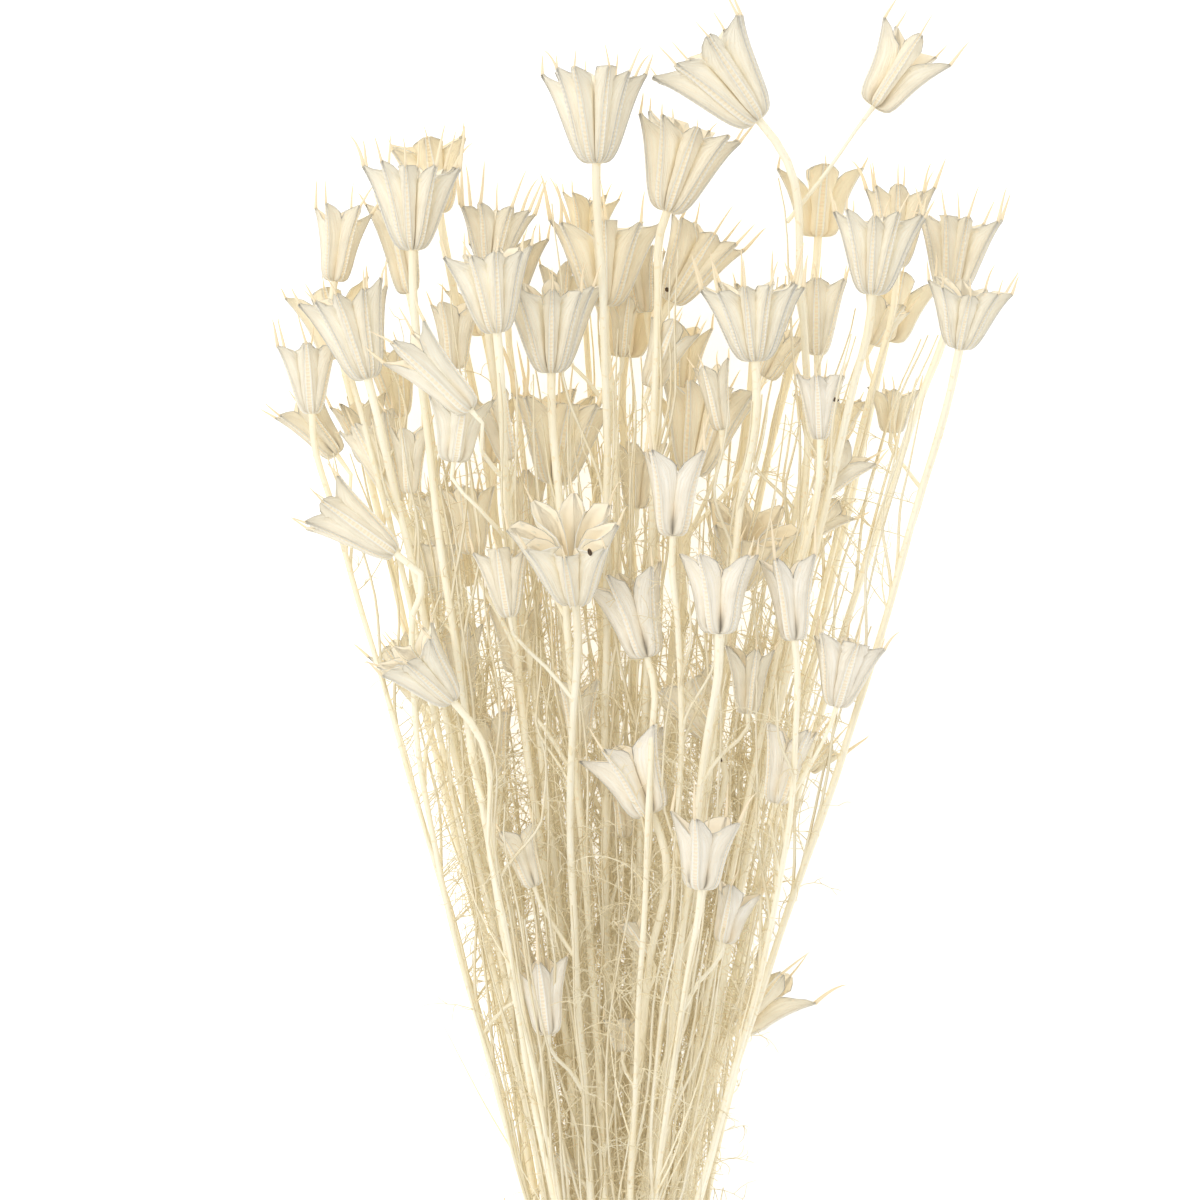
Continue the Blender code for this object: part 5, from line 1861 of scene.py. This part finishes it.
class SharedEffects:
    """The shader groups that several finishes use."""

    def __init__(self) -> None:
        """Builds both groups."""
        self.fibre = self.make_fibre()
        self.bleach = self.make_bleach()

    @staticmethod
    def make_group(name: str, inputs: dict[str, tuple[str, object]], outputs: dict[str, str]) -> NodeSheet:
        """Makes an empty shader group.

        Args:
            name: Its name.
            inputs: Each input's type and usual value.
            outputs: Each output's type.

        Returns:
            Its node sheet.
        """
        group = bpy.data.node_groups.new(name, "ShaderNodeTree")
        for label, (kind, value) in inputs.items():
            socket = group.interface.new_socket(label, in_out="INPUT", socket_type=kind)
            if value is not None:
                socket.default_value = value
        for label, kind in outputs.items():
            group.interface.new_socket(label, in_out="OUTPUT", socket_type=kind)
        return NodeSheet(group)

    def make_fibre(self) -> bpy.types.NodeTree:
        """Builds the group for long plant fibres: fine and coarse streaks along one axis.

        Returns:
            The group.
        """
        sheet = self.make_group("dried_fibre", {
            "Vector": ("NodeSocketVector", None), "Stretch": ("NodeSocketVector", (1.0, 1.0, 1.0)),
            "Fineness": ("NodeSocketFloat", 3.0)},
            {"Streaks": "NodeSocketFloat", "Height": "NodeSocketFloat"})
        source = sheet.add("NodeGroupInput").outputs
        drawn = sheet.add("ShaderNodeVectorMath", {0: source["Vector"], 1: source["Stretch"]},
                          operation="MULTIPLY").outputs[0]
        coarse = sheet.add("ShaderNodeTexNoise", {"Vector": drawn, "Scale": 1.0, "Detail": 2.0})
        finer = sheet.add("ShaderNodeVectorMath", {0: drawn, "Scale": source["Fineness"]},
                          operation="SCALE").outputs[0]
        fine = sheet.add("ShaderNodeTexNoise", {"Vector": finer, "Scale": 1.0, "Detail": 1.0})
        both = sheet.math("ADD", sheet.math("MULTIPLY", coarse.outputs[0], 0.6),
                          sheet.math("MULTIPLY", fine.outputs[0], 0.4))
        sharp = sheet.add("ShaderNodeMapRange", {"Value": both, "From Min": 0.36, "From Max": 0.64})
        sheet.add("NodeGroupOutput", {"Streaks": sharp.outputs[0], "Height": both})
        return sheet.tree

    def make_bleach(self) -> bpy.types.NodeTree:
        """Builds the group for uneven bleaching: a mask of aged patches and small specks.

        Returns:
            The group.
        """
        sheet = self.make_group("uneven_bleach", {
            "Vector": ("NodeSocketVector", None), "Patch Scale": ("NodeSocketFloat", 60.0),
            "Speck Scale": ("NodeSocketFloat", 900.0)},
            {"Patches": "NodeSocketFloat", "Specks": "NodeSocketFloat"})
        source = sheet.add("NodeGroupInput").outputs
        masks = {}
        for label, scale, detail, low, high in (("Patches", "Patch Scale", 3.0, 0.42, 0.68),
                                                ("Specks", "Speck Scale", 0.0, 0.68, 0.78)):
            noise = sheet.add("ShaderNodeTexNoise", {"Vector": source["Vector"], "Scale": source[scale],
                                                     "Detail": detail}).outputs[0]
            masks[label] = sheet.add("ShaderNodeMapRange", {"Value": noise, "From Min": low,
                                                            "From Max": high}).outputs[0]
        sheet.add("NodeGroupOutput", masks)
        return sheet.tree


@dataclass(frozen=True)
class Finish:
    """What the finishes share: a name, the shared effects, how rough they are, and the strength and colour of
    a painted glow that lifts their shaded parts.
    """

    name: str
    effects: SharedEffects
    roughness: float = 0.62
    glow: float = 0.11
    glow_colour: tuple[float, ...] = (1.0, 0.86, 0.61, 1)
    sheen: float = 0.3

    def start(self) -> tuple[bpy.types.Material, NodeSheet]:
        """Makes an empty material.

        Returns:
            The material and its node sheet.
        """
        material = bpy.data.materials.new(self.name)
        material.use_nodes = True
        return material, NodeSheet(material.node_tree)

    def close(self, sheet: NodeSheet, colour: object, height: object, depth: float,
              lit: object = None) -> None:
        """Adds the shader and the bump.

        Args:
            sheet: The material's nodes.
            colour: The colour that reaches the shader.
            height: The bump's height.
            depth: The bump's depth, in metres.
            lit: The colour of the painted glow, if it varies.
        """
        bump = sheet.add("ShaderNodeBump", {"Height": height, "Distance": depth, "Strength": 1.0})
        # Painted glow: emission that lifts shaded parts, standing in for bounce light and light through the
        # thin husks and stalks
        shader = sheet.add("ShaderNodeBsdfPrincipled", {
            "Base Color": colour, "Roughness": self.roughness, "Normal": bump.outputs[0],
            "Specular IOR Level": self.sheen, "Emission Color": lit or self.glow_colour,
            "Emission Strength": self.glow})
        sheet.add("ShaderNodeOutputMaterial", {0: shader.outputs[0]})

    def fibre(self, sheet: NodeSheet, vector: object, stretch: tuple[float, float, float],
              fineness: float) -> bpy.types.Node:
        """Places the fibre group.

        Args:
            sheet: The material's nodes.
            vector: The pattern's place.
            stretch: How fine the streaks are along each axis.
            fineness: How much finer the second streaks are.

        Returns:
            The group's node.
        """
        return sheet.add("ShaderNodeGroup", {"Vector": vector, "Stretch": stretch, "Fineness": fineness},
                         node_tree=self.effects.fibre)

    def bleach(self, sheet: NodeSheet, vector: object, patch: float, speck: float) -> bpy.types.Node:
        """Places the bleaching group.

        Args:
            sheet: The material's nodes.
            vector: The pattern's place.
            patch: How fine its patches are.
            speck: How fine its specks are.

        Returns:
            The group's node.
        """
        return sheet.add("ShaderNodeGroup", {"Vector": vector, "Patch Scale": patch, "Speck Scale": speck},
                         node_tree=self.effects.bleach)


@dataclass(frozen=True)
class HuskFinish(Finish):
    """Bleached pod husk: veined satin faces, pale rims that are partly a painted highlight, a laddered keel,
    grey slots and a tan inside, with painted shade in the valleys and a painted glow that is brighter on the
    rims.
    """

    pale: tuple[float, ...] = (0.98, 0.96, 0.88, 1)
    tan: tuple[float, ...] = (0.86, 0.71, 0.46, 1)
    slot_grey: tuple[float, ...] = (0.12, 0.11, 0.10, 1)
    # Colours of the painted glow: dim over the husk, brighter on the bare rims as a painted highlight
    glow_colour: tuple[float, ...] = (0.48, 0.42, 0.32, 1)
    edge: tuple[float, ...] = (1.0, 0.97, 0.88, 1)
    rungs: float = 170.0
    dullness: float = 0.3
    patches: float = 0.14
    specks: float = 0.15
    inner: float = 0.3
    paleness: float = 0.7
    shade: float = 0.55
    slot_edge: float = 2.6
    slot_depth: float = 0.85

    def build(self) -> bpy.types.Material:
        """Makes the material.

        Returns:
            The material.
        """
        material, sheet = self.start()
        chart = sheet.add("ShaderNodeUVMap", uv_map="PocketUV").outputs[0]
        marked = sheet.add("ShaderNodeAttribute", attribute_name="marks")
        rim, keel, valley = sheet.add("ShaderNodeSeparateColor", {0: marked.outputs["Color"]}).outputs[:3]
        inside = marked.outputs["Alpha"]
        veins = self.fibre(sheet, chart, (70.0, 2.2, 1.0), 2.3).outputs
        age = self.bleach(sheet, sheet.place(), 75.0, 1400.0).outputs
        along = sheet.add("ShaderNodeSeparateXYZ", {0: chart}).outputs[1]
        groove = sheet.math("MULTIPLY", keel, sheet.math("SUBTRACT", 1.0, rim))
        ladder = sheet.math("MULTIPLY", groove, sheet.math("SINE", sheet.math("MULTIPLY", along, self.rungs)))
        hollow = sheet.math("MULTIPLY_ADD", ladder, -0.22, sheet.math("MULTIPLY", groove, 0.36))
        dull = sheet.math("MULTIPLY_ADD", veins["Streaks"], -self.dullness, self.dullness)
        colour = sheet.blend(dull, sheet.attribute("tone"), self.tan)
        for mask, amount in ((age["Patches"], self.patches), (age["Specks"], self.specks),
                             (inside, self.inner)):
            colour = sheet.cover(mask, amount, colour, self.tan)
        colour = sheet.blend(hollow, colour, self.tan)
        # Pale on the bare lips and rib crests: partly the husk's paler thin edges, partly a painted highlight
        # on the raised crests
        bare = sheet.math("MULTIPLY", rim, sheet.math("SUBTRACT", 1.0, inside))
        colour = sheet.cover(bare, self.paleness, colour, self.pale)
        # Painted shade: tan in the valleys between pockets and along the crease beside the keel ribs
        colour = sheet.cover(valley, self.shade, colour, self.tan)
        # Near-black grey in the deepest lower valleys, as strong as the pod's slots value; full on the pods
        # in GREY_SLOTS
        slots = sheet.attribute("slots", "Fac")
        dark = sheet.math("MULTIPLY", sheet.math("POWER", valley, self.slot_edge), slots)
        colour = sheet.cover(dark, self.slot_depth, colour, self.slot_grey)
        smooth = sheet.math("SUBTRACT", 1.0, sheet.math("MAXIMUM", rim, keel))
        height = sheet.math("MULTIPLY_ADD", veins["Height"], smooth, sheet.math("MULTIPLY", ladder, 0.15))
        # The painted glow is brighter on the bare rims, a painted highlight
        self.close(sheet, colour, height, 0.0005, sheet.blend(bare, self.glow_colour, self.edge))
        return material


@dataclass(frozen=True)
class FibreFinish(Finish):
    """Straw stalk: long fibres with pale ridges, tan patches and a few specks."""

    pale: tuple[float, ...] = (0.97, 0.93, 0.78, 1)
    tan: tuple[float, ...] = (0.84, 0.71, 0.44, 1)
    stretch: tuple[float, ...] = (1500.0, 45.0, 1500.0)
    fineness: float = 2.6
    patch_scale: float = 38.0
    speck_scale: float = 700.0
    streaks: float = 0.45
    patches: float = 0.35
    specks: float = 0.5
    bump: float = 0.0003

    def build(self) -> bpy.types.Material:
        """Makes the material.

        Returns:
            The material.
        """
        material, sheet = self.start()
        place = sheet.place()
        grain = self.fibre(sheet, place, self.stretch, self.fineness).outputs
        age = self.bleach(sheet, place, self.patch_scale, self.speck_scale).outputs
        colour = sheet.cover(grain["Streaks"], self.streaks, sheet.attribute("tone"), self.pale)
        colour = sheet.cover(age["Patches"], self.patches, colour, self.tan)
        if self.specks:
            colour = sheet.cover(age["Specks"], self.specks, colour, self.tan)
        self.close(sheet, colour, grain["Height"], self.bump)
        return material


@dataclass(frozen=True)
class ThreadFinish(FibreFinish):
    """Dry thread leaf or twine fibre: short streaks and uneven colour."""

    pale: tuple[float, ...] = (0.97, 0.91, 0.71, 1)
    tan: tuple[float, ...] = (0.84, 0.67, 0.36, 1)
    stretch: tuple[float, ...] = (900.0, 500.0, 900.0)
    fineness: float = 3.0
    patch_scale: float = 90.0
    speck_scale: float = 1500.0
    streaks: float = 0.4
    patches: float = 0.4
    specks: float = 0.0
    bump: float = 0.0002


@dataclass(frozen=True)
class SeedFinish(Finish):
    """Ripe seed: dark brown with paler wrinkles."""

    dark: tuple[float, ...] = (0.045, 0.028, 0.016, 1)
    worn: tuple[float, ...] = (0.16, 0.10, 0.055, 1)

    def build(self) -> bpy.types.Material:
        """Makes the material.

        Returns:
            The material.
        """
        material, sheet = self.start()
        worn = self.bleach(sheet, sheet.place(), 900.0, 2600.0).outputs["Patches"]
        self.close(sheet, sheet.blend(worn, self.dark, self.worn), worn, 0.0002)
        return material


@dataclass
class Studio:
    """The floor, the soft light and the camera, which looks straight down on the bunch."""

    floor_half: float = 3.0
    key_power: float = 7.5
    key_size: float = 0.8
    key_place: tuple[float, ...] = (-0.75, 0.75, 1.5)
    key_aim: float = 0.05
    sky: float = 0.84
    sky_tint: tuple[float, ...] = (1, 0.985, 0.94, 1)
    glow: float = 0.5
    floor_white: float = 0.95

    def build_floor(self) -> None:
        """Makes the plain pale floor."""
        h = self.floor_half
        data = bpy.data.meshes.new("floor")
        data.from_pydata([(-h, -h, 0), (h, -h, 0), (h, h, 0), (-h, h, 0)], [], [(0, 1, 2, 3)])
        material = bpy.data.materials.new("pale_floor")
        material.use_nodes = True
        inputs = material.node_tree.nodes["Principled BSDF"].inputs
        for name, value in (("Base Color", (*[self.floor_white] * 3, 1)), ("Roughness", 0.9),
                            ("Specular IOR Level", 0.0), ("Emission Color", (1, 1, 1, 1)),
                            ("Emission Strength", self.glow)):
            inputs[name].default_value = value
        data.materials.append(material)
        made = bpy.data.objects.new("floor", data)
        bpy.context.scene.collection.objects.link(made)

    def build_light(self) -> None:
        """Makes the white surroundings and one large soft light from the upper left."""
        world = bpy.data.worlds.new("studio")
        bpy.context.scene.world = world
        world.use_nodes = True
        back = world.node_tree.nodes["Background"]
        back.inputs["Color"].default_value = self.sky_tint
        back.inputs["Strength"].default_value = self.sky
        data = bpy.data.lights.new("key", "AREA")
        data.energy, data.size = self.key_power, self.key_size
        lamp = bpy.data.objects.new("key", data)
        lamp.location = self.key_place
        aim = Vector((*VIEW_MIDDLE, self.key_aim)) - lamp.location
        lamp.rotation_euler = aim.to_track_quat("-Z", "Y").to_euler()
        bpy.context.scene.collection.objects.link(lamp)

    def build_camera(self) -> None:
        """Makes the camera over the middle of the photographed part."""
        data = bpy.data.cameras.new("camera")
        data.sensor_width = SENSOR
        data.lens = SENSOR * CAMERA_RISE / VIEW_WIDTH
        data.clip_start, data.clip_end = 0.05, 20
        made = bpy.data.objects.new("camera", data)
        made.location = (*VIEW_MIDDLE, VIEW_HEIGHT + CAMERA_RISE)
        bpy.context.scene.collection.objects.link(made)
        bpy.context.scene.camera = made

    def build(self) -> None:
        """Makes all of it."""
        self.build_floor()
        self.build_light()
        self.build_camera()
        bpy.context.scene.view_settings.view_transform = "Standard"


def straighten(stems: list[Stem], leaves: list[Stem]) -> None:
    """Eases the kinks out of the settled stems, and carries their branches and leaves along.

    Args:
        stems: The cut stems, then the side branches.
        leaves: The larger thread leaves.
    """
    before = [stem.across.copy() for stem in stems]
    for stem in stems:
        if stem.carrier >= 0:
            continue
        for _ in range(EASING_ROUNDS):
            line = stem.across
            target = ((stem.along[3:-1] - stem.along[2:-2])[:, None] * line[1:-3]
                      + (stem.along[2:-2] - stem.along[1:-3])[:, None] * line[3:-1])
            target /= (stem.along[3:-1] - stem.along[1:-3])[:, None]
            line[2:-2] += EASING * (target - line[2:-2])
    for grown in [s for s in stems if s.carrier >= 0] + leaves:
        carrier = stems[grown.carrier]
        root = grown.along[:1]
        shift = (ease_through(carrier.along, carrier.across, root)
                 - ease_through(carrier.along, before[grown.carrier], root))[0]
        fade = (grown.along[-1] - grown.along) / (grown.along[-1] - grown.along[0])
        grown.across += shift * (fade if grown.pod >= 0 else 1 + 0 * fade)[:, None]


@dataclass
class NigellaBunch:
    """The whole bunch: its layout, its finishes and its pieces in order."""

    effects: SharedEffects = field(default_factory=SharedEffects)
    pods: list[Pod] = field(default_factory=list)
    stems: list[Stem] = field(default_factory=list)
    plans: list = field(default_factory=list)
    leaves: list[Stem] = field(default_factory=list)

    def lay_out(self) -> None:
        """Repeats the part's layout: the settled pods, stems, horns and leaves."""
        rng = np.random.default_rng(SEED)
        self.pods = PODS + underside_pods(rng)
        self.stems = plan_stems(self.pods, rng)
        settling = Settling(self.pods, self.stems)
        settling.run()
        clearance = Clearance(settling)
        self.plans = plan_horns(self.pods, clearance, rng, len(self.stems))
        self.leaves = plan_leaves(self.stems, clearance, rng)
        straighten(self.stems, self.leaves)

    def keep(self, piece: bpy.types.Object, slot: str, *nodes: str) -> None:
        """Fixes a finished piece to the bunch and reports it.

        Args:
            piece: The piece.
            slot: The record's material slot; not used.
            nodes: The solids that it stands for.
        """
        heights = np.zeros(len(piece.data.vertices) * 3, np.float32)
        piece.data.vertices.foreach_get("co", heights)
        heights[2::3] = np.maximum(heights[2::3], RESTING_HEIGHT)
        piece.data.vertices.foreach_set("co", heights)
        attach(piece, "root")
        if nodes:
            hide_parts(*nodes)
        piece.data.calc_loop_triangles()
        log.info("%s: %d triangles", piece.name, len(piece.data.loop_triangles))

    def build_stems(self, rng: np.random.Generator) -> None:
        """Dresses every cut stem.

        Args:
            rng: The random draws of the looks.
        """
        tray = ShapeTray(rng)
        tree = stem_tree()
        values = {"Shapes": tray.collection, "Ribs": STALK_RIBS, "Rib Depth": STALK_RIB_DEPTH,
                  # The husk's 0.19 and the stalk's usual 0.11 are their painted glow
                  "Stalk": FibreFinish("straw_stalk", self.effects, 0.6).build(),
                  "Husk": HuskFinish("bleached_husk", self.effects, 0.58, 0.19).build()}
        mains = [(i, s) for i, s in enumerate(self.stems) if s.carrier < 0]
        for number, (index, stem) in enumerate(mains, 1):
            branches = [s for s in self.stems if s.carrier == index]
            leaves = [s for s in self.leaves if s.carrier == index]
            dressed = DressedStem(number, stem, branches, leaves)
            piece = dressed.build(self.pods, self.plans, tray, rng, tree, values)
            self.keep(piece, "dried_plant", f"stem_{number:02d}")
        tray.clear()

    def build_threads(self, rng: np.random.Generator) -> None:
        """Grows the thread leaves.

        Args:
            rng: The random draws of the looks.
        """
        leaves = ThreadLeaves([s for s in self.stems if s.carrier < 0], rng)
        leaves.scatter(FROND_COUNT)
        tree = cord_tree("thread_leaves", False)
        # Thread leaves get a faint painted glow of 0.05
        finish = ThreadFinish("thread_leaf", self.effects, 0.7, 0.05).build()
        for number, skeleton in enumerate(leaves.skeletons, 1):
            name = f"thread_leaves_{number}"
            piece = tree.grow(name, skeleton.mesh(name), {"Sides": 3, "Twist": 0.0, "Material": finish})
            self.keep(piece, "dried_plant")

    def build_tie(self) -> None:
        """Winds the tie."""
        finish = ThreadFinish("jute_twine", self.effects, 0.85, 0.0).build()
        tree = cord_tree("plied_twine", True)
        piece = tree.grow("twine_tie", TwineTie().skeleton().mesh("twine_tie"),
                          {"Sides": 4, "Twist": 900.0, "Material": finish})
        self.keep(piece, "twine", "tie")

    def build_seeds(self, rng: np.random.Generator) -> None:
        """Drops the loose seeds.

        Args:
            rng: The random draws of the looks.
        """
        piece = LooseSeeds().build(SeedFinish("ripe_seed", self.effects, 0.5, 0.0).build(), rng)
        self.keep(piece, "dried_plant")


def main() -> None:
    """Builds the bunch and the studio in order."""
    logging.basicConfig(level=logging.INFO, format="%(message)s")
    rng = np.random.default_rng(SEED + 1)
    bunch = NigellaBunch()
    bunch.lay_out()
    bunch.build_stems(rng)
    bunch.build_seeds(rng)
    bunch.build_threads(rng)
    bunch.build_tie()
    Studio().build()


if __name__ == "__main__":
    main()
